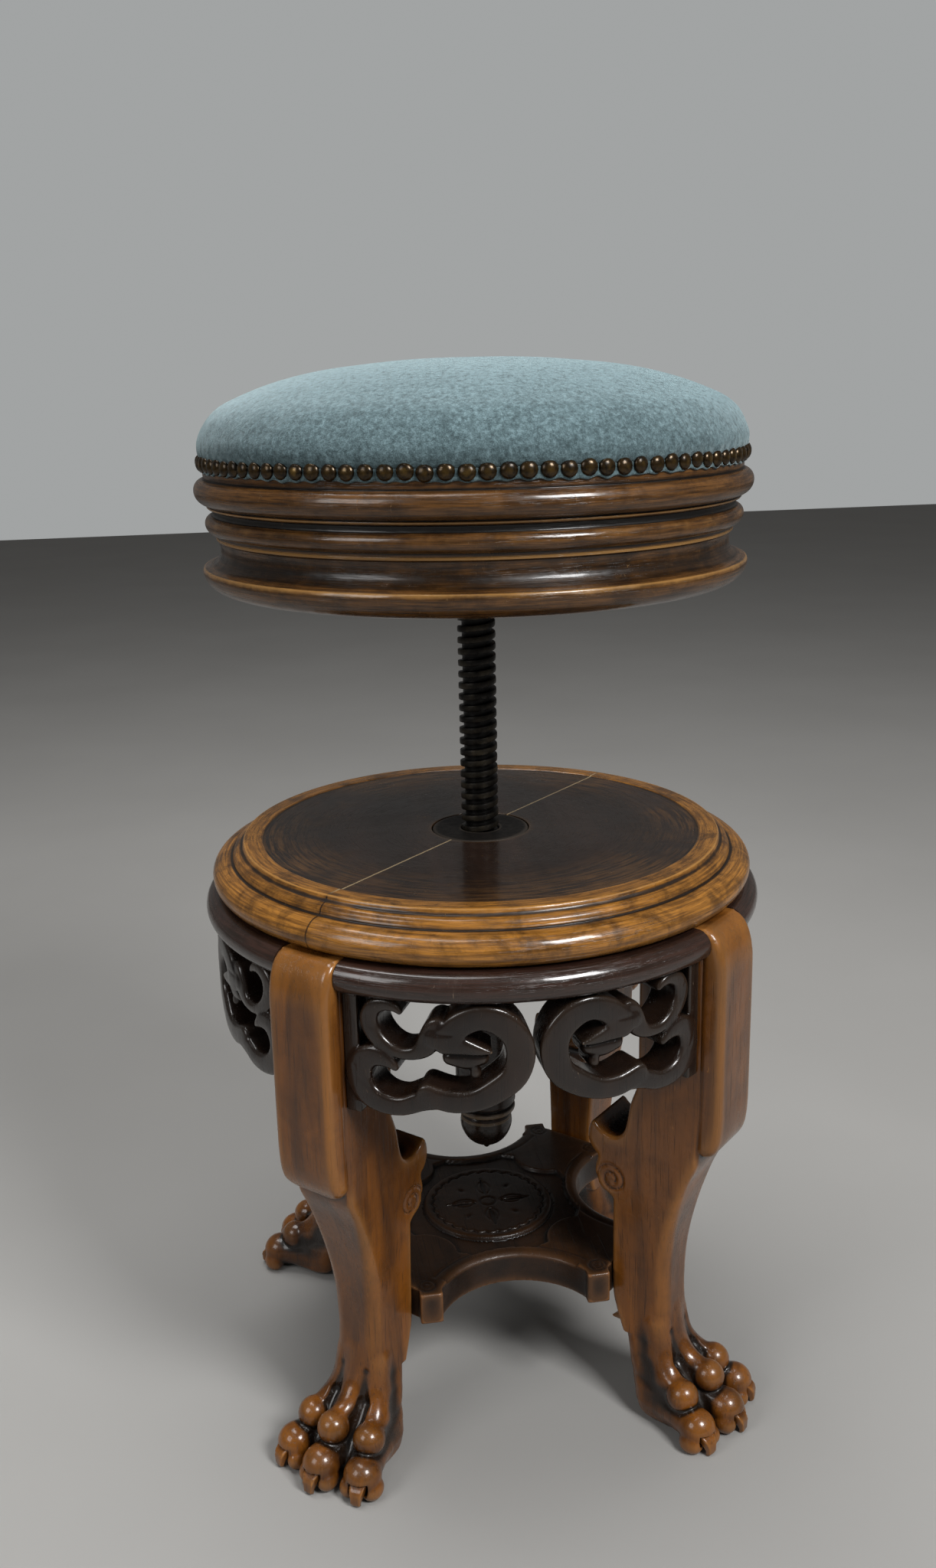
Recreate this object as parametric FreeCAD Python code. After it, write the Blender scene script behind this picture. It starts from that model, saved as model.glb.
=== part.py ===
# Revolving piano stool: a round velvet seat on a lifting screw, over a drum
# base with pierced scroll aprons, four lion-paw legs and a carved shelf.
# Millimetres, +Z up, origin on the floor under the middle of the base.
# The seat is modelled at the height that the photograph shows.
import FreeCAD, Part
import math
import os

V = FreeCAD.Vector
UP = V(0, 0, 1)
ORIGIN = V(0, 0, 0)

# Heights above the floor
SHELF_TOP_Z = 105.0
APRON_FOOT_Z = 260.0
RAIL_FOOT_Z = 341.5
TOP_UNDERSIDE_Z = 361.0
TOP_FACE_Z = 392.0
SEAT_UNDERSIDE_Z = 558.0
SEAT_JOINT_Z = 592.0
FRAME_TOP_Z = 641.0
NAIL_ROW_Z = 637.0
SEAT_CROWN_Z = 695.5

# Seat
EDGE_R = 168.8
FRAME_EDGE_HEIGHT = 13.5
FRAME_OPENING_R = 142.0
NAIL_COUNT = 98
NAIL_HEAD_R = 4.5
NAIL_HEAD_HEIGHT = 3.4

# Lifting screw and its nut
SCREW_R = 12.5
SCREW_TOP_Z = 574.0
SCREW_END_Z = 345.0
NUT_CLEARANCE = 0.05
NUT_FLANGE_R = 32.7
NUT_FLANGE_THICKNESS = 6.0
NUT_SQUARE = 40.0
FLANGE_R = 56.0
FLANGE_THICKNESS = 6.0
FLANGE_BOSS_R = 21.0
FLANGE_BOSS_DROP = 6.0
FLANGE_SCREW_RING_R = 43.0
WASHER_R = 14.5
WASHER_THICKNESS = 4.0
WASHER_PLAY = 0.05
BOLT_R = 5.0
BOLT_HEAD_R = 9.0
BOLT_HEAD_HEIGHT = 6.0
BOLT_LENGTH = 26.0

# Base drum
ARRIS_R = 158.6
FIELD_R = 146.0
FIELD_Z = TOP_FACE_Z - 0.8
TORUS_R = 179.4
RAIL_R = 185.0
APRON_R = 180.0
APRON_THICKNESS = 24.0
LEG_FACE_R = 192.0
LEG_BACK_R = 134.0
LEG_WIDTH = 44.5
LEG_AZIMUTHS = (45.0, 135.0, 225.0, 315.0)
LEG_NAMES = ("back_right", "back_left", "front_left", "front_right")
SIDE_AZIMUTHS = (270.0, 0.0, 90.0, 180.0)
SIDE_NAMES = ("front", "right", "back", "left")
TOP_JOINT_AZIMUTH = 45.0

# Screw housing and finial under the top
HOUSING_R = 21.0
HOUSING_BORE_R = 16.0
HOUSING_FOOT_Z = 176.0
HOUSING_BORE_FOOT_Z = 182.0
HOUSING_FLANGE_R = 45.0
HOUSING_FLANGE_THICKNESS = 12.0
HOUSING_SCREW_RING_R = 35.0
FINIAL_TIP_Z = 149.5
FINIAL_TENON_R = 5.0
FINIAL_TENON_HEIGHT = 5.0

# Small round-head wood screws
WOOD_SCREW_R = 2.5
WOOD_SCREW_HEAD_R = 5.0
WOOD_SCREW_HEAD_HEIGHT = 2.6
WOOD_SCREW_LENGTH = 18.0

# Leg tenons and shelf; a tenon's sizes are its length, width and thickness
LEG_TENON = (26.0, 20.0, 16.0)
LEG_TENON_BACK_R = 140.0
SHELF_TENON = (16.0, 22.0, 12.0)
SHELF_THICKNESS = 22.0
SHELF_FOOT_Z = SHELF_TOP_Z - SHELF_THICKNESS
SHELF_SIDE_R = 68.0
SHELF_HOLLOW_R = 56.2
SHELF_END_R = 113.5
VOLUTE_R = 9.5
VOLUTE_CENTRE = (107.0, 27.0)
MEDALLION_R = 46.5
GROUND_DEPTH = 3.0
LOBE_R = 27.0
LOBE_CENTRE_R = 80.0
SHELF_BORDER = 9.0

# Round forms are drawn with flats: their number round the axis, and their length along an arc
TURNED_SIDES = 64
COLUMN_SIDES = 32
HOLLOW_SIDES = 32
VOLUTE_SIDES = 16
TURNED_STEP = 7.0
COLUMN_STEP = 7.0
CROWN_STEP = 34.0
SAWN_STEP = 12.0
LEG_STEP = 16.0


def in_section(point):
    """Place a (radius, height) point in the XZ plane."""
    return V(point[0], 0, point[1])


def in_plan(point):
    """Place an (x, y) point in the floor plane."""
    return V(point[0], point[1], 0)


def circle_through(a, b, c):
    """Centre and radius of the circle through three points of a plane."""
    d = 2.0 * (a[0] * (b[1] - c[1]) + b[0] * (c[1] - a[1]) + c[0] * (a[1] - b[1]))
    squares = [p[0] ** 2 + p[1] ** 2 for p in (a, b, c)]
    x = (squares[0] * (b[1] - c[1]) + squares[1] * (c[1] - a[1]) + squares[2] * (a[1] - b[1])) / d
    y = (squares[0] * (c[0] - b[0]) + squares[1] * (a[0] - c[0]) + squares[2] * (b[0] - a[0])) / d
    return (x, y), math.dist((x, y), a)


def facets(points, step):
    """An outline in which a (middle, end) pair stands for an arc, as points one step apart."""
    here = points[0]
    flat = [here]
    for item in points[1:]:
        if not isinstance(item[0], tuple):
            flat.append(item)
            here = item
            continue
        middle, end = item
        centre, radius = circle_through(here, middle, end)
        start_angle, middle_angle, end_angle = [
            math.atan2(p[1] - centre[1], p[0] - centre[0]) for p in (here, middle, end)
        ]
        sweep = (end_angle - start_angle) % (2.0 * math.pi)
        if (middle_angle - start_angle) % (2.0 * math.pi) > sweep:
            sweep -= 2.0 * math.pi
        count = max(2, round(abs(sweep) * radius / step))
        for k in range(1, count + 1):
            a = start_angle + sweep * k / count
            flat.append((centre[0] + radius * math.cos(a), centre[1] + radius * math.sin(a)))
        here = end
    return flat


def closed(corners):
    return corners + corners[:1]


def flat_face(corners):
    return Part.Face(Part.makePolygon(closed(corners)))


def prism(points, place, along, step=SAWN_STEP):
    """A straight extrusion of a closed outline; its last point may repeat its first."""
    corners = [place(p) for p in facets(points, step)]
    if corners[0].distanceToPoint(corners[-1]) < 1e-6:
        corners.pop()
    return flat_face(corners).extrude(along)


def polygon(centre, axis, radius, sides):
    """Corners of a polygon round a centre, square to the axis."""
    side = V(0, 1, 0)
    other = axis.cross(side).normalize()
    corners = []
    for k in range(sides):
        a = 2.0 * math.pi * (k + 0.5) / sides
        corners.append(centre + (side * math.cos(a) + other * math.sin(a)) * radius)
    return corners


def skinned(rings):
    """A solid with flat sides between rings of corners and a flat face at each end."""
    faces = [flat_face(rings[0]), flat_face(rings[-1])]
    for low, high in zip(rings, rings[1:]):
        for k in range(len(low)):
            a, b, c, d = low[k - 1], low[k], high[k], high[k - 1]
            if abs((b - a).cross(c - a).normalize().dot(d - a)) < 1e-4:
                faces.append(flat_face([a, b, c, d]))
            else:
                faces.append(flat_face([a, b, c]))
                faces.append(flat_face([a, c, d]))
    solid = Part.makeSolid(Part.makeShell(faces))
    if solid.Volume < 0.0:
        solid.reverse()
    return solid


def turned(points, step=TURNED_STEP, sides=TURNED_SIDES):
    """A turned piece from its (radius, height) outline, which starts and ends on the axis."""
    outline = facets(points, step)[1:-1]
    return skinned([polygon(V(0, 0, z), UP, r, sides) for r, z in outline])


def bar(radius, foot_z, top_z, x=0.0, y=0.0, sides=6):
    """An upright bar with the given number of sides."""
    return flat_face(polygon(V(x, y, foot_z), UP, radius, sides)).extrude(UP * (top_z - foot_z))


def rod(radius, foot_z, top_z, x=0.0, y=0.0):
    return Part.makeCylinder(radius, top_z - foot_z, V(x, y, foot_z), UP)


def block(x0, x1, y0, y1, z0, z1):
    return Part.makeBox(x1 - x0, y1 - y0, z1 - z0, V(x0, y0, z0))


def spun(shape, azimuth):
    """A copy turned about the stool's axis from azimuth 0 to the given one."""
    turned_copy = shape.copy()
    turned_copy.rotate(ORIGIN, UP, azimuth)
    return turned_copy


def ring_of(shape, count):
    return [spun(shape, 360.0 * k / count) for k in range(count)]


def polar(radius, azimuth):
    a = math.radians(azimuth)
    return (radius * math.cos(a), radius * math.sin(a))


def save(name, shape):
    shape.exportStep(os.path.join("parts", name + ".step"))


# Seat


def seat_cushion():
    """Stuffed velvet dome, full at its edge and drawn in to the nail row."""
    return turned([
        (0.0, FRAME_TOP_Z),
        (EDGE_R, FRAME_TOP_Z),
        ((174.6, 646.5), (170.6, 655.5)),
        (162.0, 665.2),
        ((138.0, 678.0), (106.0, 687.2)),
        ((56.0, 694.0), (20.0, SEAT_CROWN_Z)),
        (0.0, SEAT_CROWN_Z),
    ], CROWN_STEP)


def frame_opening():
    """Eight-sided opening inside the frame, which is built up from eight lengths of wood."""
    return bar(FRAME_OPENING_R, SEAT_JOINT_Z, FRAME_TOP_Z, sides=8)


def seat_stuffing():
    """Webbing and horsehair pad that fills the frame's opening."""
    return frame_opening()


def bead(foot_z, top_z, root_r, reach):
    """Middle and end points of one bead of a moulding, drawn from its top to its foot."""
    return (root_r + reach, (foot_z + top_z) / 2.0), (root_r, foot_z)


def seat_frame():
    """Upper ring of the seat: the covered edge, a large bead, a groove and a small bead."""
    shoulder_z = FRAME_TOP_Z - FRAME_EDGE_HEIGHT
    ring = turned([
        (0.0, shoulder_z),
        (168.0, shoulder_z),
        bead(611.5, shoulder_z, 167.0, 7.4),
        (163.6, 605.0),
        bead(594.0, 605.0, 163.6, 5.2),
        (162.5, SEAT_JOINT_Z),
        (0.0, SEAT_JOINT_Z),
    ])
    return ring.fuse(rod(EDGE_R, shoulder_z, FRAME_TOP_Z)).cut(frame_opening())


def seat_board():
    """Lower turned disc of the seat, hollowed above its lip and rounded under it."""
    body = turned([
        (0.0, SEAT_UNDERSIDE_Z),
        (157.0, SEAT_UNDERSIDE_Z),
        ((169.0, 562.5), (172.0, 571.5)),
        (169.2, 574.0),
        ((160.0, 579.5), (161.0, 588.5)),
        (162.5, SEAT_JOINT_Z),
        (0.0, SEAT_JOINT_Z),
    ])
    body = body.cut(rod(SCREW_R, SEAT_UNDERSIDE_Z, SCREW_TOP_Z))
    for x, y in screw_places(FLANGE_SCREW_RING_R):
        body = body.cut(wood_screw(x, y, SEAT_UNDERSIDE_Z - FLANGE_THICKNESS))
    return body


def upholstery_nails():
    """Close row of brass nail heads round the cover's edge, drawn as low pyramids."""
    rim = Part.makePolygon(closed(polygon(V(EDGE_R, 0, NAIL_ROW_Z), V(1, 0, 0), NAIL_HEAD_R, 6)))
    head = Part.makeLoft([rim, Part.Vertex(EDGE_R + NAIL_HEAD_HEIGHT, 0, NAIL_ROW_Z)], True, True)
    return Part.makeCompound(ring_of(head, NAIL_COUNT))


def screw_places(radius):
    return [polar(radius, a) for a in LEG_AZIMUTHS]


def wood_screw(x, y, seat_z):
    """Wood screw driven up into wood; its head bears on seat_z from below."""
    shank = bar(WOOD_SCREW_R, seat_z, seat_z + WOOD_SCREW_LENGTH, x, y)
    return shank.fuse(bar(WOOD_SCREW_HEAD_R, seat_z - WOOD_SCREW_HEAD_HEIGHT, seat_z, x, y))


def wood_screws(radius, seat_z):
    return Part.makeCompound([wood_screw(x, y, seat_z) for x, y in screw_places(radius)])


def seat_flange():
    """Iron flange under the seat that holds the screw's upper end."""
    foot_z = SEAT_UNDERSIDE_Z - FLANGE_THICKNESS
    plate = bar(FLANGE_R, foot_z, SEAT_UNDERSIDE_Z, sides=COLUMN_SIDES)
    boss = bar(FLANGE_BOSS_R, foot_z - FLANGE_BOSS_DROP, foot_z, sides=COLUMN_SIDES)
    plate = plate.fuse(boss).cut(rod(SCREW_R, foot_z - FLANGE_BOSS_DROP, SEAT_UNDERSIDE_Z))
    return plate.cut(wood_screws(FLANGE_SCREW_RING_R, foot_z))


def lift_screw():
    """Steel lifting screw at its thread's outer size, tapped for the stop bolt."""
    stem = rod(SCREW_R, SCREW_END_Z, SCREW_TOP_Z)
    return stem.cut(rod(BOLT_R, SCREW_END_Z, SCREW_END_Z + BOLT_LENGTH - WASHER_THICKNESS))


def stop_bolt():
    """Bolt in the screw's lower end that keeps the stop washer on."""
    bearing_z = SCREW_END_Z - WASHER_THICKNESS
    head = bar(BOLT_HEAD_R, bearing_z - BOLT_HEAD_HEIGHT, bearing_z)
    return head.fuse(rod(BOLT_R, bearing_z, bearing_z + BOLT_LENGTH))


def stop_washer():
    """Loose washer between the bolt's head and the screw; it stops the screw leaving the nut."""
    foot_z = SCREW_END_Z - WASHER_THICKNESS
    ring = rod(WASHER_R, foot_z + WASHER_PLAY, SCREW_END_Z - WASHER_PLAY)
    return ring.cut(rod(BOLT_R + WASHER_PLAY, foot_z, SCREW_END_Z))


# Base: top, nut, housing


def screw_nut():
    """Iron nut let into the top: a flush round flange over a square body."""
    bore = rod(SCREW_R + NUT_CLEARANCE, TOP_UNDERSIDE_Z - 1.0, TOP_FACE_Z)
    return nut_space().cut(bore)


def nut_space():
    """The nut's outer shape, which is also its recess in the top."""
    flange_foot_z = FIELD_Z - NUT_FLANGE_THICKNESS
    half = NUT_SQUARE / 2.0
    body = block(-half, half, -half, half, TOP_UNDERSIDE_Z, flange_foot_z)
    return body.fuse(bar(NUT_FLANGE_R, flange_foot_z, FIELD_Z, sides=COLUMN_SIDES))


def top_blank():
    """The whole moulded top, mortised for the nut and the legs, bored for the housing screws."""
    body = turned([
        (0.0, TOP_UNDERSIDE_Z),
        (169.4, TOP_UNDERSIDE_Z),
        ((TORUS_R, 371.2), (169.4, 381.4)),
        (165.8, 381.4),
        (165.8, 383.0),
        ((163.5, 387.6), (159.6, 389.0)),
        (ARRIS_R, TOP_FACE_Z),
        (FIELD_R, TOP_FACE_Z),
        (FIELD_R, FIELD_Z),
        (0.0, FIELD_Z),
    ])
    housing_foot_z = TOP_UNDERSIDE_Z - HOUSING_FLANGE_THICKNESS
    body = body.cut(nut_space()).cut(wood_screws(HOUSING_SCREW_RING_R, housing_foot_z))
    return body.cut(Part.makeCompound([spun(leg_tenon(), a) for a in LEG_AZIMUTHS]))


def top_boards():
    """The top is two boards, joined on the line from the front left to the back right leg."""
    blank = top_blank()
    reach = TORUS_R + 5.0
    left = block(-reach, reach, 0.0, reach, TOP_UNDERSIDE_Z, TOP_FACE_Z)
    right = block(-reach, reach, -reach, 0.0, TOP_UNDERSIDE_Z, TOP_FACE_Z)
    return [blank.common(spun(half, TOP_JOINT_AZIMUTH)) for half in (left, right)]


def screw_housing():
    """Turned hollow column that hangs under the top and hides the screw's lower end."""
    flange_foot_z = TOP_UNDERSIDE_Z - HOUSING_FLANGE_THICKNESS
    body = turned([
        (0.0, TOP_UNDERSIDE_Z),
        (HOUSING_FLANGE_R, TOP_UNDERSIDE_Z),
        (HOUSING_FLANGE_R, flange_foot_z),
        (30.0, flange_foot_z),
        ((23.0, 343.0), (HOUSING_R, 328.0)),
        (HOUSING_R, HOUSING_FOOT_Z),
        (0.0, HOUSING_FOOT_Z),
    ], COLUMN_STEP, COLUMN_SIDES)
    body = body.cut(rod(HOUSING_BORE_R, HOUSING_BORE_FOOT_Z, TOP_UNDERSIDE_Z))
    body = body.cut(finial_tenon())
    return body.cut(wood_screws(HOUSING_SCREW_RING_R, flange_foot_z))


def finial_tenon():
    return bar(FINIAL_TENON_R, HOUSING_FOOT_Z, HOUSING_FOOT_Z + FINIAL_TENON_HEIGHT, sides=8)


def drop_finial():
    """Turned drop under the housing, with a collar, a bulb and a small tip."""
    return turned([
        (0.0, HOUSING_FOOT_Z),
        (20.8, HOUSING_FOOT_Z),
        (20.8, 171.6),
        (18.0, 170.4),
        ((16.2, 160.5), (6.0, 153.0)),
        (3.0, 151.8),
        (1.5, FINIAL_TIP_Z),
        (0.0, FINIAL_TIP_Z),
    ], COLUMN_STEP, COLUMN_SIDES).fuse(finial_tenon())


# Base: rails and pierced aprons

HALF_APRON_ANGLE = 45.0 - math.degrees(math.asin(LEG_WIDTH / 2.0 / APRON_R))


def leg_space(azimuth):
    """The square leg top that rails and aprons butt against."""
    half = LEG_WIDTH / 2.0
    return spun(block(LEG_BACK_R, LEG_FACE_R + 5.0, -half, half, 200.0, TOP_UNDERSIDE_Z + 1.0), azimuth)


def quarter(azimuth):
    """The quarter of the drum between two legs, as a space to cut to."""
    reach = RAIL_R * 1.5
    corners = [(0.0, 0.0), polar(reach, azimuth - 45.0), polar(reach, azimuth + 45.0)]
    space = prism(corners, in_plan, UP * TOP_UNDERSIDE_Z)
    return space.cut(leg_space(azimuth - 45.0)).cut(leg_space(azimuth + 45.0))


def drum_back():
    """The round space behind rails and aprons."""
    return bar(APRON_R - APRON_THICKNESS, 0.0, TOP_UNDERSIDE_Z, sides=TURNED_SIDES)


def frieze_rail(azimuth):
    """Half-round rail between two legs, just under the top."""
    root_r = RAIL_R - (TOP_UNDERSIDE_Z - RAIL_FOOT_Z) / 2.0
    middle_z = (TOP_UNDERSIDE_Z + RAIL_FOOT_Z) / 2.0
    drum = turned([
        (0.0, RAIL_FOOT_Z),
        (root_r, RAIL_FOOT_Z),
        ((RAIL_R, middle_z), (root_r, TOP_UNDERSIDE_Z)),
        (0.0, TOP_UNDERSIDE_Z),
    ])
    return drum.common(quarter(azimuth)).cut(drum_back())


def on_apron(point):
    """Place an apron point, given along the face from the centre joint, in front of the half's middle."""
    along, z = point
    angle = along / APRON_R - math.radians(HALF_APRON_ANGLE / 2.0)
    return V(APRON_R * math.sin(angle), -APRON_R - 20.0, z)


# Half an apron, from the centre joint (0) towards the leg (118): length along the face, height
APRON_OUTLINE = [
    (-4.0, 322.0),
    ((10.0, 335.5), (25.0, 341.2)),
    (25.0, RAIL_FOOT_Z + 5.0),
    (40.0, RAIL_FOOT_Z + 5.0),
    (40.0, 340.2),
    ((49.2, 335.0), (53.2, 327.6)),
    ((59.6, 333.4), (67.0, 327.6)),
    ((69.2, 317.8), (77.0, 312.4)),
    ((91.5, 312.4), (99.6, 325.0)),
    ((98.8, 332.4), (94.5, 336.8)),
    ((87.5, 329.6), (81.4, 336.8)),
    (82.0, RAIL_FOOT_Z + 5.0),
    (97.0, RAIL_FOOT_Z + 5.0),
    (97.0, 341.4),
    ((107.6, 325.5), (108.4, 302.4)),
    (124.0, 293.0),
    (124.0, 274.5),
    ((105.0, 265.4), (86.0, 266.4)),
    ((72.0, 268.6), (61.4, 276.0)),
    ((47.0, 272.6), (31.0, 273.4)),
    ((6.8, 286.6), (-4.0, 303.0)),
]
APRON_OPENING = [
    (26.0, 322.6),
    ((17.2, 306.0), (28.0, 290.6)),
    ((47.0, 285.0), (65.5, 296.0)),
    ((73.0, 284.6), (88.0, 280.4)),
    ((102.6, 288.6), (98.0, 300.6)),
    ((91.0, 294.2), (84.6, 301.0)),
    (86.6, 306.2),
    ((72.0, 308.4), (57.0, 307.4)),
    ((46.0, 298.4), (33.0, 302.0)),
    ((28.4, 309.4), (35.0, 315.4)),
    ((41.0, 316.6), (46.6, 319.0)),
    ((36.6, 324.4), (26.0, 322.6)),
]


def half_apron():
    """Pierced scroll panel from the centre joint to the leg, its middle at azimuth 270."""
    depth = V(0, 90.0, 0)
    panel = prism(APRON_OUTLINE, on_apron, depth).cut(prism(APRON_OPENING, on_apron, depth))
    shell = bar(APRON_R, APRON_FOOT_Z, RAIL_FOOT_Z, sides=TURNED_SIDES).cut(drum_back())
    half = HALF_APRON_ANGLE / 2.0
    reach = APRON_R * 1.5
    wedge = prism([(0.0, 0.0), polar(reach, 270.0 - half), polar(reach, 285.0 + half)], in_plan, UP * TOP_FACE_Z)
    return panel.common(shell.common(wedge)).cut(leg_space(315.0 - half))


def apron_halves(azimuth):
    """Left and right half of one apron as seen from outside; they mirror each other."""
    half = half_apron()
    right = spun(half, azimuth - 270.0 + HALF_APRON_ANGLE / 2.0)
    left = spun(half.mirror(ORIGIN, V(1, 0, 0)), azimuth - 270.0 - HALF_APRON_ANGLE / 2.0)
    return left, right


# Legs

# Side outline of a leg, radius and height, from the top down the outer side and back up
LEG_OUTLINE = [
    (LEG_BACK_R, TOP_UNDERSIDE_Z),
    (175.5, TOP_UNDERSIDE_Z),
    ((187.4, 352.6), (191.6, 338.0)),
    (LEG_FACE_R, 250.0),
    ((189.6, 221.5), (179.8, 204.0)),
    (175.6, 200.5),
    ((164.6, 168.5), (157.2, 134.0)),
    ((154.0, 96.0), (154.6, 56.0)),
    (121.0, 56.0),
    (SHELF_END_R, 80.0),
    (SHELF_END_R, 130.0),
    (115.4, 164.0),
    (105.6, 166.5),
    ((102.8, 178.0), (105.8, 188.0)),
    ((97.6, 199.0), (102.0, 210.0)),
    ((121.0, 204.6), (LEG_BACK_R, 230.0)),
]
# Front outline of a leg's right half: half width and height
LEG_FRONT_OUTLINE = [
    (-1.0, 56.0),
    (-1.0, TOP_UNDERSIDE_Z),
    (LEG_WIDTH / 2.0, TOP_UNDERSIDE_Z),
    (LEG_WIDTH / 2.0, 196.0),
    (19.6, 140.0),
    (17.6, 90.0),
    (17.6, 56.0),
]
# Toes of the paw, from the ankle down: (radius, sideways, height) and thickness of each section
MIDDLE_TOE = (
    ((156.0, 0.0, 60.0), 6.4),
    ((171.0, 0.0, 46.0), 10.6),
    ((181.0, 0.0, 33.0), 10.6),
    ((186.5, 0.0, 24.0), 8.4),
    ((191.5, 0.0, 13.0), 12.4),
    ((200.0, 0.0, 6.0), 6.4),
)
SIDE_TOE = (
    ((149.0, 9.0, 60.0), 6.0),
    ((165.0, 22.5, 45.0), 10.2),
    ((174.0, 28.0, 32.0), 10.2),
    ((179.0, 29.6, 23.5), 8.4),
    ((184.0, 31.0, 12.5), 12.0),
    ((191.5, 33.0, 5.8), 6.4),
)
# Body of the paw: height, radius of the back, radius of the front, half width, cut corner
PAD_SECTIONS = (
    (0.0, 146.0, 180.0, 26.0, 12.0),
    (12.0, 136.5, 184.0, 32.0, 14.0),
    (26.0, 130.0, 180.0, 32.0, 13.0),
    (42.0, 126.0, 166.0, 24.5, 8.0),
    (60.0, 119.5, 155.2, 17.9, 2.0),
)
HEEL_SPUR_ROOT = ((122.0, -7.5, 47.0), (122.0, 7.5, 47.0), (119.0, 0.0, 73.0))
HEEL_SPUR_TIP = (105.0, 0.0, 51.0)


def toe(sections):
    """One toe: hexagons swelling over the knuckle and the toe's ball, ending in a blunt claw."""
    centres = [V(*centre) for centre, thickness in sections]
    rings = []
    for k, (centre, thickness) in enumerate(sections):
        axis = centres[min(k + 1, len(centres) - 1)] - centres[max(k - 1, 0)]
        rings.append(polygon(centres[k], axis.normalize(), thickness, 6))
    return skinned(rings)


def pad_ring(z, back_r, front_r, half_width, corner):
    """A rectangle with cut corners round the paw at one height."""
    near = half_width - corner
    outline = [
        (back_r, -near), (back_r + corner, -half_width), (front_r - corner, -half_width), (front_r, -near),
        (front_r, near), (front_r - corner, half_width), (back_r + corner, half_width), (back_r, near),
    ]
    return [V(x, y, z) for x, y in outline]


def paw():
    """Lion's paw with three toes, cut flat where it stands."""
    pad = skinned([pad_ring(*section) for section in PAD_SECTIONS])
    side_toe = toe(SIDE_TOE)
    whole = pad.multiFuse([toe(MIDDLE_TOE), side_toe, side_toe.mirror(ORIGIN, V(0, 1, 0))])
    return whole.cut(block(100.0, 230.0, -60.0, 60.0, -30.0, 0.0))


def heel_spur():
    """Carved tuft at the back of the ankle."""
    root = Part.makePolygon(closed([V(*corner) for corner in HEEL_SPUR_ROOT]))
    return Part.makeLoft([root, Part.Vertex(*HEEL_SPUR_TIP)], True, True)


def sawn_leg():
    """The leg at azimuth 0 as sawn: its side outline cut to its front outline."""
    side = prism(LEG_OUTLINE, in_section, V(0, LEG_WIDTH, 0), LEG_STEP)
    side.translate(V(0, -LEG_WIDTH / 2.0, 0))
    right = prism(LEG_FRONT_OUTLINE, lambda p: V(0, p[0], p[1]), V(LEG_FACE_R + 10.0, 0, 0))
    return side.common(right.fuse(right.mirror(ORIGIN, V(0, 1, 0))))


def leg_tenon():
    """Tenon on top of the leg at azimuth 0, let into the top."""
    length, width, height = LEG_TENON
    back_r = LEG_TENON_BACK_R
    return block(back_r, back_r + length, -width / 2.0, width / 2.0, TOP_UNDERSIDE_Z, TOP_UNDERSIDE_Z + height)


def leg():
    """Cabriole leg with its shoulder, hooked bracket, shelf mortise and paw, at azimuth 0."""
    body = sawn_leg().multiFuse([paw(), heel_spur(), leg_tenon()])
    return body.cut(shelf_tenon()).removeSplitter()


# Shelf between the legs


def shelf_tenon():
    """Tenon of the shelf in the leg at azimuth 0."""
    length, width, height = SHELF_TENON
    middle_z = SHELF_TOP_Z - SHELF_THICKNESS / 2.0
    return block(
        SHELF_END_R - 2.0, SHELF_END_R + length, -width / 2.0, width / 2.0,
        middle_z - height / 2.0, middle_z + height / 2.0,
    )


def hollow(azimuth, extra=0.0):
    """The round space that makes one side of the shelf concave."""
    x, y = polar(SHELF_SIDE_R + SHELF_HOLLOW_R, azimuth)
    return bar(SHELF_HOLLOW_R + extra, SHELF_FOOT_Z, SHELF_TOP_Z, x, y, HOLLOW_SIDES)


def shelf_arm():
    """The corner of the shelf towards the leg at azimuth 0, with a volute at each side."""
    reach, side = VOLUTE_CENTRE
    edge = side + VOLUTE_R
    outline = [
        (0.0, -edge), (reach, -edge), (SHELF_END_R, -side), (SHELF_END_R, side), (reach, edge), (0.0, edge),
    ]
    arm = flat_face([V(x, y, SHELF_FOOT_Z) for x, y in outline]).extrude(UP * SHELF_THICKNESS)
    volutes = [bar(VOLUTE_R, SHELF_FOOT_Z, SHELF_TOP_Z, reach, y, VOLUTE_SIDES) for y in (-side, side)]
    return arm.multiFuse(volutes + [shelf_tenon()])


def shelf_ground():
    """Sunk ground round the medallion, between its rim, the border and the corner lobes."""
    foot_z = SHELF_TOP_Z - GROUND_DEPTH
    ground = bar(MEDALLION_R + 12.0, foot_z, SHELF_TOP_Z, sides=HOLLOW_SIDES)
    ground = ground.cut(bar(MEDALLION_R, foot_z, SHELF_TOP_Z, sides=HOLLOW_SIDES))
    for azimuth in LEG_AZIMUTHS:
        x, y = polar(LOBE_CENTRE_R, azimuth)
        ground = ground.cut(bar(LOBE_R, foot_z, SHELF_TOP_Z, x, y, VOLUTE_SIDES))
    for azimuth in SIDE_AZIMUTHS:
        ground = ground.cut(hollow(azimuth, SHELF_BORDER))
    return ground


def stretcher_shelf():
    """Four-cornered shelf with hollow sides, scrolled corners and a raised medallion."""
    half = SHELF_SIDE_R + 8.0
    body = block(-half, half, -half, half, SHELF_FOOT_Z, SHELF_TOP_Z)
    body = body.multiFuse([spun(shelf_arm(), azimuth) for azimuth in LEG_AZIMUTHS])
    for azimuth in SIDE_AZIMUTHS:
        body = body.cut(hollow(azimuth))
    return body.cut(shelf_ground()).removeSplitter()


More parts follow.
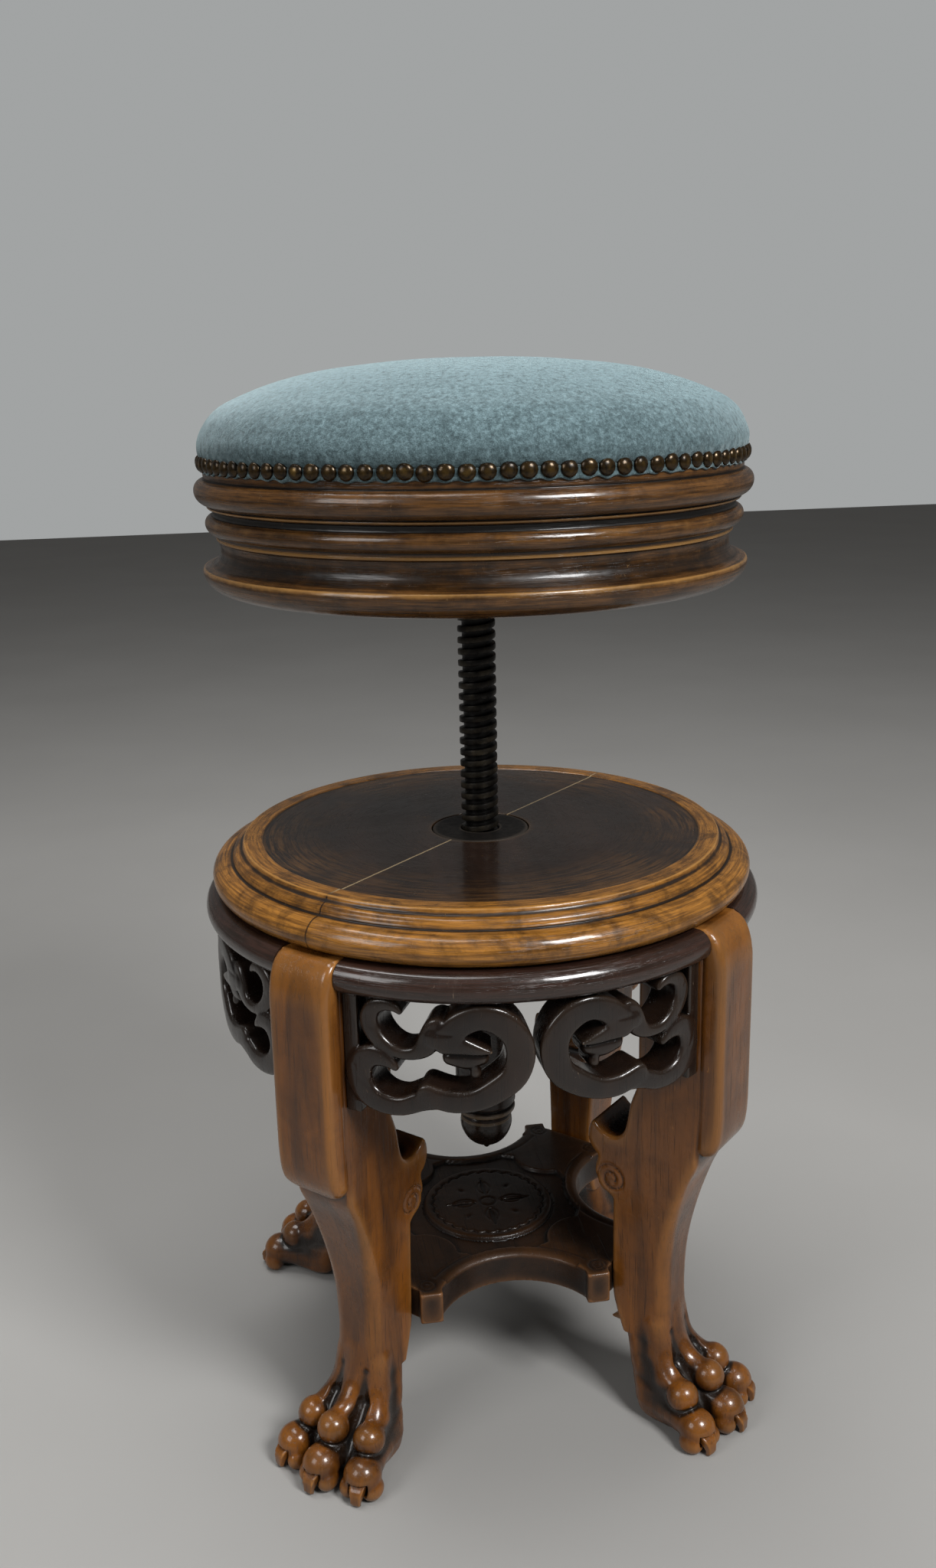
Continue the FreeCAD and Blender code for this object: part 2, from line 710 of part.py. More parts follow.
def main():
    os.makedirs("parts", exist_ok=True)
    save("seat_cushion", seat_cushion())
    save("seat_stuffing", seat_stuffing())
    save("seat_frame", seat_frame())
    save("seat_board", seat_board())
    save("upholstery_nails", upholstery_nails())
    save("seat_flange", seat_flange())
    save("flange_screws", wood_screws(FLANGE_SCREW_RING_R, SEAT_UNDERSIDE_Z - FLANGE_THICKNESS))
    save("lift_screw", lift_screw())
    save("stop_bolt", stop_bolt())
    save("stop_washer", stop_washer())
    save("screw_nut", screw_nut())
    left_board, right_board = top_boards()
    save("top_board_left", left_board)
    save("top_board_right", right_board)
    save("screw_housing", screw_housing())
    save("housing_screws", wood_screws(HOUSING_SCREW_RING_R, TOP_UNDERSIDE_Z - HOUSING_FLANGE_THICKNESS))
    save("drop_finial", drop_finial())
    for name, azimuth in zip(SIDE_NAMES, SIDE_AZIMUTHS):
        save(name + "_frieze_rail", frieze_rail(azimuth))
        left, right = apron_halves(azimuth)
        save(name + "_apron_left", left)
        save(name + "_apron_right", right)
    one_leg = leg()
    for name, azimuth in zip(LEG_NAMES, LEG_AZIMUTHS):
        save(name + "_leg", spun(one_leg, azimuth))
    save("stretcher_shelf", stretcher_shelf())


main()
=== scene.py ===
"""Revolving piano stool: velvet seat, lifting screw, drum base with pierced aprons, paw legs and shelf."""

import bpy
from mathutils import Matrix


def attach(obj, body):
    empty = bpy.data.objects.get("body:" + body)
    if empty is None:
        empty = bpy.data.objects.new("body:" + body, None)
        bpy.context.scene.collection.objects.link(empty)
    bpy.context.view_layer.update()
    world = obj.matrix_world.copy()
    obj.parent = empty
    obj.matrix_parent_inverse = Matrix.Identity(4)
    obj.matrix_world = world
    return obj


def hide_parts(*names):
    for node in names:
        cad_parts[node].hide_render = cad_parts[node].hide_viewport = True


bl_info = {
    "name": "Revolving piano stool",
    "version": (1, 0, 0),
    "blender": (4, 5, 0),
    "location": "3D View > Sidebar > Stool",
    "description": "Builds the dressed pieces of a revolving piano stool round its CAD frame",
    "category": "Object",
}

import math

import bmesh
import bpy
import numpy as np
from mathutils import Matrix

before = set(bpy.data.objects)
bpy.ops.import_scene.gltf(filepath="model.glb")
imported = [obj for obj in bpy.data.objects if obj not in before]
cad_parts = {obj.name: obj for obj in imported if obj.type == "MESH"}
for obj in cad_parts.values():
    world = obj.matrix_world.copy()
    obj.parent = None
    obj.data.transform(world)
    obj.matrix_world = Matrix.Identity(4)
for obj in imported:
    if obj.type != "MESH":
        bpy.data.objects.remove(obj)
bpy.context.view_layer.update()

MM = 0.001
TURN = 2.0 * math.pi

# Heights above the floor, in millimetres
SHELF_TOP = 105.0
SHELF_FOOT = 83.0
RAIL_FOOT = 341.5
TOP_UNDERSIDE = 361.0
TOP_FACE = 392.0
SEAT_UNDERSIDE = 558.0
SEAT_JOINT = 592.0
SEAT_EDGE_TOP = 636.2
NAIL_ROW = 637.0

# Radii of the drum, in millimetres
APRON_R = 180.0
APRON_HALF_DEPTH = 12.0
LEG_HALF_WIDTH = 22.25
TOP_JOINT_AZIMUTH = 45.0

LEGS = (("back_right", 45.0), ("back_left", 135.0), ("front_left", 225.0), ("front_right", 315.0))
SIDES = (("front", 270.0), ("right", 0.0), ("back", 90.0), ("left", 180.0))


# Outlines


def through(points, steps=6):
    """Points of a smooth curve through given ones: a cubic between each two, its end slopes set by their neighbours."""
    points = np.asarray(points, float)
    padded = np.vstack([2 * points[0] - points[1], points, 2 * points[-1] - points[-2]])
    a, b, c, d = padded[:-3, None], padded[1:-2, None], padded[2:-1, None], padded[3:, None]
    t = np.linspace(0.0, 1.0, steps, endpoint=False)[None, :, None]
    curve = 0.5 * (2 * b + (c - a) * t + (2 * a - 5 * b + 4 * c - d) * t**2 + (3 * b - a - 3 * c + d) * t**3)
    return np.vstack([curve.reshape(-1, points.shape[1]), points[-1:]])


def bulge(top, foot, reach, count=14):
    """A bead of a moulding from its top to its foot: half an ellipse that stands out by the reach."""
    a = np.linspace(0.0, math.pi, count)
    top, foot = np.asarray(top), np.asarray(foot)
    middle, half = (top + foot) / 2.0, (top - foot) / 2.0
    return np.stack([middle[0] + half[0] * np.cos(a) + reach * np.sin(a), middle[1] + half[1] * np.cos(a)], 1)


def spaced(points, step):
    """The same line with points one step apart along it."""
    gaps = np.hypot(*np.diff(points, axis=0).T)
    along = np.concatenate([[0.0], np.cumsum(gaps)])
    places = np.linspace(0.0, along[-1], max(3, int(along[-1] / step) + 1))
    return np.stack([np.interp(places, along, points[:, k]) for k in range(points.shape[1])], 1)


def blurred(values, reach, loop):
    """A running mean with a bell-shaped weight, round a loop or with its ends held."""
    kernel = np.exp(-0.5 * (np.arange(-3 * reach, 3 * reach + 1) / reach) ** 2)
    kernel /= kernel.sum()
    way = {"mode": "wrap"} if loop else {"mode": "reflect", "reflect_type": "odd"}
    padded = np.pad(values, ((3 * reach, 3 * reach), (0, 0)), **way)
    return np.stack([np.convolve(padded[:, k], kernel, mode="valid") for k in range(values.shape[1])], 1)


def moulding(parts, loop=False, softness=0.45, step=3.0, turn=7.0):
    """A moulding's profile with worn arrises: the line is blurred, then kept only where it turns or runs far.

    Gives the points and, beside each, how far it stands out of the line blurred near and, halved, blurred wide."""
    line = np.vstack([np.atleast_2d(np.asarray(p, float)) for p in parts])
    if loop:
        line = np.vstack([line, line[:1]])
    fine, near, wide = 0.25, 2.2, 6.0
    line = spaced(line, fine)
    if loop:
        line = line[:-1]
    soft = blurred(line, max(1, int(softness / fine)), loop)
    tangent = np.gradient(soft, axis=0)
    normal = np.stack([tangent[:, 1], -tangent[:, 0]], 1)
    normal /= np.maximum(np.hypot(*normal.T)[:, None], 1e-9)
    relief = [((soft - blurred(soft, int(reach / fine), loop)) * normal).sum(1) for reach in (near, wide)]
    heading = np.unwrap(np.arctan2(tangent[:, 1], tangent[:, 0]))
    effort = np.abs(np.gradient(heading)) / math.radians(turn) + fine / step
    along = np.cumsum(effort)
    keep = np.unique(np.searchsorted(along, np.arange(along[0], along[-1], 1.0)))
    if not loop:
        keep = np.unique(np.append(keep, len(soft) - 1))
        keep[0] = 0
    return soft[keep], relief[0][keep], 0.5 * relief[1][keep]


# Meshes


def set_values(mesh, label, values):
    """Stores one number at each vertex, which a material reads by the label."""
    layer = mesh.attributes.new(label, "FLOAT", "POINT")
    layer.data.foreach_set("value", np.asarray(values, np.float32).ravel())


def vertices_of(mesh):
    """The vertices of a mesh as rows of an array, in metres."""
    points = np.empty(len(mesh.vertices) * 3, np.float32)
    mesh.vertices.foreach_get("co", points)
    return points.reshape(-1, 3)


def mesh_object(name, points, quads, relief=None, sharp=35.0, hollow=None):
    """A new object from points in millimetres and four-cornered faces; faces that close to a point lose a corner."""
    mesh = bpy.data.meshes.new(name)
    quads = np.asarray(quads, np.int64)
    mesh.vertices.add(len(points))
    mesh.vertices.foreach_set("co", (np.asarray(points, float) * MM).astype(np.float32).ravel())
    mesh.loops.add(quads.size)
    mesh.loops.foreach_set("vertex_index", quads.astype(np.int32).ravel())
    mesh.polygons.add(len(quads))
    mesh.polygons.foreach_set("loop_start", np.arange(0, quads.size, 4, dtype=np.int32))
    mesh.update(calc_edges=True)
    for label, values in (("relief", relief), ("hollow", hollow)):
        if values is not None:
            set_values(mesh, label, values)
    work = bmesh.new()
    work.from_mesh(mesh)
    bmesh.ops.remove_doubles(work, verts=work.verts, dist=2e-6)
    bmesh.ops.dissolve_degenerate(work, dist=1e-6, edges=work.edges)
    work.to_mesh(mesh)
    work.free()
    mesh.shade_smooth()
    if sharp:
        mesh.set_sharp_from_angle(angle=math.radians(sharp))
    piece = bpy.data.objects.new(name, mesh)
    bpy.context.scene.collection.objects.link(piece)
    return piece


def grid_faces(rows, columns, close_rows=False, close_columns=False):
    """Quads between neighbours on a grid of points, joined round where asked."""
    index = np.arange(rows * columns).reshape(rows, columns)
    if close_rows:
        index = np.vstack([index, index[:1]])
    if close_columns:
        index = np.hstack([index, index[:, :1]])
    return np.stack([index[:-1, :-1], index[:-1, 1:], index[1:, 1:], index[1:, :-1]], -1).reshape(-1, 4)


def spun(line, angles):
    """Points of a profile carried round the axis, one column to an angle."""
    return np.stack([
        line[:, :1] * np.cos(angles), line[:, :1] * np.sin(angles), np.repeat(line[:, 1:], len(angles), 1),
    ], -1).reshape(-1, 3)


def turned(name, profile, sides=192, loop=False, **options):
    """A turned piece: a profile of (radius, height) points, from its foot up the outside, spun round the axis."""
    line, relief, hollow = moulding(profile, loop, **options)
    if not loop:
        line[0, 0] = line[-1, 0] = 0.0
    points = spun(line, np.linspace(0.0, TURN, sides, endpoint=False))
    faces = grid_faces(len(line), sides, close_rows=loop, close_columns=True)
    return mesh_object(name, points, faces, np.repeat(relief, sides), hollow=np.repeat(hollow, sides))


def part_turn(name, profile, start, end, sides):
    """A piece turned through part of a circle from its closed profile, with a flat face at each end."""
    line, relief, hollow = moulding(profile, True)
    points = spun(line, np.radians(np.linspace(start, end, sides)))
    faces = grid_faces(len(line), sides, close_rows=True)
    piece = mesh_object(name, points, faces, np.repeat(relief, sides), hollow=np.repeat(hollow, sides))
    close_ends(piece)
    return piece


def close_ends(piece):
    """Fills the open ends of a piece with flat faces that look outwards."""
    work = bmesh.new()
    work.from_mesh(piece.data)
    rims = [e for e in work.edges if e.is_boundary]
    made = bmesh.ops.holes_fill(work, edges=rims, sides=0)["faces"]
    bmesh.ops.triangulate(work, faces=made)
    work.to_mesh(piece.data)
    work.free()
    piece.data.set_sharp_from_angle(angle=math.radians(35.0))


def merge(name, pieces):
    """Joins pieces into the first, under a name."""
    for other in bpy.context.selected_objects:
        other.select_set(False)
    for piece in pieces:
        piece.select_set(True)
    bpy.context.view_layer.objects.active = pieces[0]
    bpy.ops.object.join()
    pieces[0].name = name
    pieces[0].data.name = name
    return pieces[0]


def turned_copy(piece, name, azimuth, mirrored=False):
    """A copy turned about the stool's axis in its mesh; a mirrored one has its faces turned back outwards."""
    mesh = piece.data.copy()
    mesh.name = name
    turn = Matrix.Rotation(math.radians(azimuth), 4, "Z")
    if mirrored:
        turn = turn @ Matrix.Diagonal((-1.0, 1.0, 1.0, 1.0))
    mesh.transform(turn)
    if mirrored:
        mesh.flip_normals()
    copy = bpy.data.objects.new(name, mesh)
    bpy.context.scene.collection.objects.link(copy)
    return copy


# Carved forms, as the zero surface of a distance


def carved_surface(field, axes):
    """Points and quads of the surface where a distance on a grid changes sign.

    Each cell that the surface crosses gets one point, the mean of the crossings on its edges, and each crossed grid
    edge joins the four cells round it. The distance is negative inside the wood."""
    for k in range(3):
        edge = [slice(None)] * 3
        for end in (0, -1):
            edge[k] = end
            field[tuple(edge)] = np.maximum(field[tuple(edge)], 0.5)
    cells = np.array(field.shape) - 1
    count = int(cells.prod())
    owners, spots, quads = [], [], []
    for k in range(3):
        low, high = [slice(None)] * 3, [slice(None)] * 3
        low[k], high[k] = slice(0, -1), slice(1, None)
        a, b = field[tuple(low)], field[tuple(high)]
        crossed = (a < 0.0) != (b < 0.0)
        index = np.argwhere(crossed)
        fa, fb = a[crossed], b[crossed]
        points = np.stack([axes[i][index[:, i]] for i in range(3)], 1)
        points[:, k] += fa / (fa - fb) * (axes[k][index[:, k] + 1] - axes[k][index[:, k]])
        u, v = [i for i in range(3) if i != k]
        ring = []
        for du, dv in ((-1, -1), (0, -1), (0, 0), (-1, 0)):
            cell = index.copy()
            cell[:, u] += du
            cell[:, v] += dv
            ring.append(np.ravel_multi_index(cell.T, cells))
        ring = np.stack(ring, 1)
        owners.append(ring.ravel())
        spots.append(np.repeat(points, 4, axis=0))
        outward = (fa < 0.0) != (k == 1)
        quads.append(np.where(outward[:, None], ring, ring[:, ::-1]))
    owners, spots, quads = np.concatenate(owners), np.concatenate(spots), np.concatenate(quads)
    crossings = np.bincount(owners, minlength=count)
    used = np.flatnonzero(crossings)
    sums = [np.bincount(owners, spots[:, i], count)[used] for i in range(3)]
    points = np.stack(sums, 1) / crossings[used, None]
    place = np.zeros(count, np.int64)
    place[used] = np.arange(len(used))
    return points, place[quads]


def relaxed(points, quads, rounds, share=0.5):
    """Each point moved towards the mean of its neighbours, some rounds long."""
    a, b = quads.ravel(), np.roll(quads, -1, axis=1).ravel()
    degree = np.bincount(a, minlength=len(points)) + np.bincount(b, minlength=len(points))
    for _ in range(rounds):
        mean = np.stack([
            np.bincount(a, points[b, i], len(points)) + np.bincount(b, points[a, i], len(points)) for i in range(3)
        ], 1) / degree[:, None]
        points = points * (1.0 - share) + mean * share
    return points


def relief_of(points, quads, rounds=14, wide=90):
    """How far each point stands out of its near surroundings, and of its wider ones, along the normal."""
    across = np.cross(points[quads[:, 2]] - points[quads[:, 0]], points[quads[:, 3]] - points[quads[:, 1]])
    normal = np.stack([np.bincount(quads.ravel(), np.repeat(across[:, i], 4), len(points)) for i in range(3)], 1)
    normal /= np.maximum(np.linalg.norm(normal, axis=1), 1e-9)[:, None]
    near = ((points - relaxed(points, quads, rounds)) * normal).sum(1)
    return near, ((points - relaxed(points, quads, wide)) * normal).sum(1)


def merged(a, b, k):
    """Union of two distances with a fillet of about k."""
    h = np.clip(k - np.abs(a - b), 0.0, None) / k
    return np.minimum(a, b) - h * h * k * 0.25


def carved(a, b, k):
    """Distance a with b taken out of it, with an arris softened by about k."""
    return -merged(-a, b, k)


def slab(across, out, soft):
    """Distance of a straight-sided form from those to its outline and to its face, its arris rounded by soft."""
    a, b = across + soft, out + soft
    return np.hypot(np.maximum(a, 0.0), np.maximum(b, 0.0)) + np.minimum(np.maximum(a, b), 0.0) - soft


def strap_distance(u, v, path):
    """Distance on the plane to a strap: to the nearest piece of its middle line, less its half width there."""
    a, b = path[:-1], path[1:]
    step = (b - a)[:, :2]
    u, v = u[..., None], v[..., None]
    t = ((u - a[:, 0]) * step[:, 0] + (v - a[:, 1]) * step[:, 1]) / np.maximum((step**2).sum(1), 1e-9)
    t = np.clip(t, 0.0, 1.0)
    gap = np.hypot(u - a[:, 0] - t * step[:, 0], v - a[:, 1] - t * step[:, 1])
    return (gap - a[:, 2] - t * (b - a)[:, 2]).min(-1)


def outline_distance(u, v, outline):
    """Signed distance on the plane to a closed outline, negative inside it."""
    a, b = outline, np.roll(outline, -1, axis=0)
    path = np.column_stack([np.vstack([a, a[:1]]), np.zeros(len(a) + 1)])
    gap = strap_distance(u, v, path)
    u, v = u[..., None], v[..., None]
    spans = (a[:, 1] > v) != (b[:, 1] > v)
    rise = np.where(b[:, 1] == a[:, 1], 1e-9, b[:, 1] - a[:, 1])
    left = u < (b[:, 0] - a[:, 0]) * (v - a[:, 1]) / rise + a[:, 0]
    return np.where((spans & left).sum(-1) % 2 == 1, -gap, gap)


def finger(grid, a, b, ra, rb):
    """Distance to a straight finger between two balls of different size."""
    a, b = np.asarray(a, float), np.asarray(b, float)
    step = b - a
    t = sum((grid[i] - a[i]) * step[i] for i in range(3)) / (step**2).sum()
    t = np.clip(t, 0.0, 1.0)
    return np.sqrt(sum((grid[i] - a[i] - t * step[i]) ** 2 for i in range(3))) - ra - t * (rb - ra)


def ball(grid, centre, radii):
    """Distance to a ball whose three radii may differ, near its surface."""
    scaled = [(grid[i] - centre[i]) / radii[i] for i in range(3)]
    size = np.sqrt(sum(s**2 for s in scaled))
    slope = np.sqrt(sum((s / r) ** 2 for s, r in zip(scaled, radii)))
    return size * (size - 1.0) / np.maximum(slope, 1e-6)


def axis_points(*spans):
    """Grid lines over spans of (from, to, step)."""
    lines = [np.arange(a, b, s) for a, b, s in spans]
    return np.concatenate(lines + [[spans[-1][1]]])


# Materials


def feed(tree, sockets, values):
    """Gives each named socket its value: a number, a colour or another node's output."""
    for key, value in values.items():
        if isinstance(value, bpy.types.NodeSocket):
            tree.links.new(value, sockets[key])
        else:
            sockets[key].default_value = value


def put(tree, kind, inputs=None, **settings):
    """A node with its settings and inputs; an input is a number, a colour or another node's output."""
    node = tree.nodes.new(kind)
    for key, value in settings.items():
        setattr(node, key, value)
    feed(tree, node.inputs, inputs or {})
    return node


def maths(tree, operation, a, b=0.0, c=0.0):
    """The result of one sum on numbers or sockets."""
    return put(tree, "ShaderNodeMath", {0: a, 1: b, 2: c}, operation=operation).outputs[0]


def ramp(tree, value, low, high, to_low=0.0, to_high=1.0):
    """The value carried from one range to another, eased at both ends and kept inside it."""
    node = put(tree, "ShaderNodeMapRange", {
        "Value": value, "From Min": low, "From Max": high, "To Min": to_low, "To Max": to_high,
    }, interpolation_type="SMOOTHSTEP")
    return node.outputs["Result"]


def blend_colours(tree, share, a, b):
    """Colour a with a share of colour b over it."""
    node = put(tree, "ShaderNodeMix", data_type="RGBA")
    feed(tree, {s.identifier: s for s in node.inputs}, {"Factor_Float": share, "A_Color": a, "B_Color": b})
    return [s for s in node.outputs if s.identifier == "Result_Color"][0]


def stored(tree, label):
    """A number that is kept at the vertices."""
    return put(tree, "ShaderNodeAttribute", attribute_name=label).outputs["Fac"]


def laid(tree, place, turn):
    """Coordinates turned about their axes."""
    return put(tree, "ShaderNodeMapping", {"Vector": place, "Rotation": turn}).outputs[0]


def noise(tree, vector, scale, detail=3.0, rough=0.5, distortion=0.0):
    """Noise from 0 to 1 over some coordinates."""
    return put(tree, "ShaderNodeTexNoise", {
        "Vector": vector, "Scale": scale, "Detail": detail, "Roughness": rough, "Distortion": distortion,
    }).outputs["Fac"]


def colour(hexcode):
    """A colour as written for a screen, turned to the linear values that shaders use."""
    parts = [int(hexcode[i:i + 2], 16) / 255.0 for i in (0, 2, 4)]
    return tuple(p / 12.92 if p <= 0.04045 else ((p + 0.055) / 1.055) ** 2.4 for p in parts) + (1.0,)


def group(name, inputs, outputs):
    """A new shader node group with its sockets: (name, socket kind, default)."""
    tree = bpy.data.node_groups.new(name, "ShaderNodeTree")
    for label, kind, default in inputs:
        socket = tree.interface.new_socket(label, in_out="INPUT", socket_type="NodeSocket" + kind)
        if default is not None:
            socket.default_value = default
    for label, kind in outputs:
        tree.interface.new_socket(label, in_out="OUTPUT", socket_type="NodeSocket" + kind)
    return tree, tree.nodes.new("NodeGroupInput").outputs, tree.nodes.new("NodeGroupOutput").inputs


def wood_grain_group():
    """Grain along the third axis of its vector: broad figure, fine pores, and both as a height."""
    tree, given, out = group("wood_grain", [("Vector", "Vector", None), ("Figure Scale", "Float", 30.0)], [
        ("Figure", "Float"), ("Pores", "Float"), ("Height", "Float"),
    ])
    stretched, fine = (
        put(tree, "ShaderNodeVectorMath", {0: given["Vector"], 1: (1.0, 1.0, share)}, operation="MULTIPLY").outputs[0]
        for share in (0.09, 0.03)
    )
    figure = noise(tree, stretched, given["Figure Scale"], 4.0, 0.6, 0.6)
    pores = ramp(tree, noise(tree, fine, 900.0, 2.0, 0.6), 0.56, 0.72)
    feed(tree, out, {
        "Figure": ramp(tree, figure, 0.3, 0.72), "Pores": pores,
        "Height": maths(tree, "SUBTRACT", maths(tree, "MULTIPLY", figure, 0.3), pores),
    })
    return tree


def turned_streaks_group():
    """Streaks that follow a turned piece round its axis: noise over direction, height and radius."""
    tree, given, out = group("turned_streaks", [("Vector", "Vector", None)], [
        ("Figure", "Float"), ("Pores", "Float"), ("Height", "Float"), ("Radius", "Float"),
    ])
    parts = put(tree, "ShaderNodeSeparateXYZ", {0: given["Vector"]}).outputs
    squares = [maths(tree, "MULTIPLY", parts[k], parts[k]) for k in (0, 1)]
    radius = maths(tree, "SQRT", maths(tree, "ADD", *squares))
    safe = maths(tree, "MAXIMUM", radius, 0.001)
    made = []
    for around, across, detail in ((5.0, 620.0, 5.0), (9.0, 2000.0, 2.0)):
        place = put(tree, "ShaderNodeCombineXYZ", {
            0: maths(tree, "MULTIPLY", maths(tree, "DIVIDE", parts[0], safe), around),
            1: maths(tree, "MULTIPLY", maths(tree, "DIVIDE", parts[1], safe), around),
            2: maths(tree, "MULTIPLY", parts[2], across),
        }).outputs[0]
        made.append(put(tree, "ShaderNodeTexNoise", {
            "Vector": place, "W": maths(tree, "MULTIPLY", radius, across),
            "Scale": 1.0, "Detail": detail, "Roughness": 0.65,
        }, noise_dimensions="4D").outputs["Fac"])
    pores = ramp(tree, made[1], 0.52, 0.72)
    feed(tree, out, {
        "Figure": ramp(tree, made[0], 0.34, 0.66), "Pores": pores, "Radius": radius,
        "Height": maths(tree, "SUBTRACT", maths(tree, "MULTIPLY", made[0], 0.4), pores),
    })
    return tree


def handling_group():
    """Marks of use: arrises rubbed bare, hollows full of dark wax, hairline scratches, mottling and smears."""
    tree, given, out = group("handling", [
        ("Vector", "Vector", None), ("Relief", "Float", 0.0), ("Rub Start", "Float", 0.12),
        ("Wax Start", "Float", 0.1),
    ], [("Rubbed", "Float"), ("Wax", "Float"), ("Scratches", "Float"), ("Mottle", "Float"), ("Smears", "Float")])
    patchy = noise(tree, given["Vector"], 55.0, 5.0, 0.65)
    spread = maths(tree, "MULTIPLY_ADD", maths(tree, "SUBTRACT", patchy, 0.5), 0.5, given["Relief"])
    rubbed = ramp(tree, maths(tree, "SUBTRACT", spread, given["Rub Start"]), 0.0, 0.3)
    wax = ramp(tree, maths(tree, "SUBTRACT", maths(tree, "MULTIPLY", spread, -1.0), given["Wax Start"]), 0.0, 0.4)
    marks = None
    for turn, scale in (((0.3, 0.9, 0.4), 60.0), ((1.2, 0.2, 1.1), 85.0)):
        lay = put(tree, "ShaderNodeMapping", {"Vector": given["Vector"], "Rotation": turn, "Scale": (1.0, 1.0, 0.04)})
        lines = noise(tree, lay.outputs[0], scale * 6.0, 1.0, 0.4)
        thin = ramp(tree, maths(tree, "ABSOLUTE", maths(tree, "SUBTRACT", lines, 0.5)), 0.004, 0.0)
        some = ramp(tree, noise(tree, given["Vector"], scale, 2.0), 0.58, 0.66)
        mark = maths(tree, "MULTIPLY", thin, some)
        marks = mark if marks is None else maths(tree, "MAXIMUM", marks, mark)
    feed(tree, out, {
        "Rubbed": rubbed, "Wax": wax, "Scratches": marks,
        "Mottle": ramp(tree, noise(tree, given["Vector"], 42.0, 6.0, 0.7, 0.4), 0.42, 0.68),
        "Smears": ramp(tree, noise(tree, given["Vector"], 18.0, 4.0, 0.6), 0.35, 0.7),
    })
    return tree


def new_material(name):
    """A material with a plain Principled surface: itself, its tree, its surface and its object coordinates."""
    material = bpy.data.materials.new(name)
    material.use_nodes = True
    tree = material.node_tree
    tree.nodes.clear()
    surface = put(tree, "ShaderNodeBsdfPrincipled")
    tree.links.new(surface.outputs[0], put(tree, "ShaderNodeOutputMaterial").inputs["Surface"])
    place = put(tree, "ShaderNodeTexCoord").outputs["Object"]
    return material, tree, surface, place


def use_group(tree, name, **inputs):
    """The outputs of a group used in a tree; an input's name has an underscore for each space."""
    node = tree.nodes.new("ShaderNodeGroup")
    node.node_tree = bpy.data.node_groups[name]
    feed(tree, node.inputs, {key.replace("_", " "): value for key, value in inputs.items()})
    return node.outputs


def bump(tree, height, distance, strength, normal=None):
    """A normal tilted by a height, on top of an earlier one where it is given."""
    inputs = {"Height": height, "Distance": distance, "Strength": strength}
    if normal is not None:
        inputs["Normal"] = normal
    return put(tree, "ShaderNodeBump", inputs).outputs[0]


def finish_wood(tree, surface, place, tone, grain, use, light, wax_and_shade_tone, rub, gloss, coat, scratch, painted_crest_highlight):
    """The last coats that every wooden piece shares: wax in pores and fine hollows, painted shade in broad hollows, a
    painted highlight on broad crests, rubbed arrises, scratches, polish and bump.
    """
    hollow = stored(tree, "hollow")
    for share, over in (
        (maths(tree, "MULTIPLY", grain["Pores"], 0.5), wax_and_shade_tone),
        (maths(tree, "MULTIPLY", use["Wax"], 0.94), wax_and_shade_tone),
        # Painted shade: broad hollows of the carved form are darkened with the wax tone.
        (ramp(tree, hollow, -0.1, -1.3, 0.0, 0.95), wax_and_shade_tone),
        # Painted highlight: broad crests of the carved form are lightened with the rubbed tone.
        (ramp(tree, hollow, 0.3, 2.2, 0.0, painted_crest_highlight), light),
        (maths(tree, "MULTIPLY", use["Rubbed"], rub), light),
        (maths(tree, "MULTIPLY", use["Scratches"], scratch), light),
    ):
        tone = blend_colours(tree, share, tone, over)
    rough = gloss
    for mask, more in ((use["Smears"], 0.16), (grain["Pores"], 0.12), (use["Wax"], 0.2), (use["Scratches"], 0.2)):
        rough = maths(tree, "MULTIPLY_ADD", mask, more, rough)
    height = maths(tree, "MULTIPLY_ADD", use["Scratches"], -1.5, grain["Height"])
    normal = bump(tree, noise(tree, place, 70.0, 2.0), 0.0012, 0.35)
    feed(tree, surface.inputs, {
        "Base Color": tone, "Roughness": rough, "Specular IOR Level": 0.34, "Coat Weight": coat,
        "Coat Roughness": 0.1, "Normal": bump(tree, height, 0.00012, 0.8, normal),
    })


def wood(name, dark, mid, light, wax_and_shade_tone, round_grain=False, turn=(0.0, 0.0, 0.0), start=0.12, wax=0.1,
         mottle=0.6, gloss=0.28, coat=0.25, figure=30.0, streak=0.8, rub=0.75, painted_crest_highlight=0.3):
    """Old polished wood: figure between two browns, mottled darker, rubbed pale on arrises, dark wax in fine hollows,
    painted shade in broad hollows and a painted highlight on broad crests.
    """
    material, tree, surface, place = new_material(name)
    relief = stored(tree, "relief")
    if round_grain:
        grain = use_group(tree, "turned_streaks", Vector=place)
    else:
        grain = use_group(tree, "wood_grain", Vector=laid(tree, place, turn), Figure_Scale=figure)
    use = use_group(tree, "handling", Vector=place, Relief=relief, Rub_Start=start, Wax_Start=wax)
    tone = blend_colours(tree, maths(tree, "MULTIPLY", grain["Figure"], streak), mid, dark)
    tone = blend_colours(tree, maths(tree, "MULTIPLY", use["Mottle"], mottle), tone, dark)
    finish_wood(tree, surface, place, tone, grain, use, light, wax_and_shade_tone, rub, gloss, coat, 0.5, painted_crest_highlight)
    return material


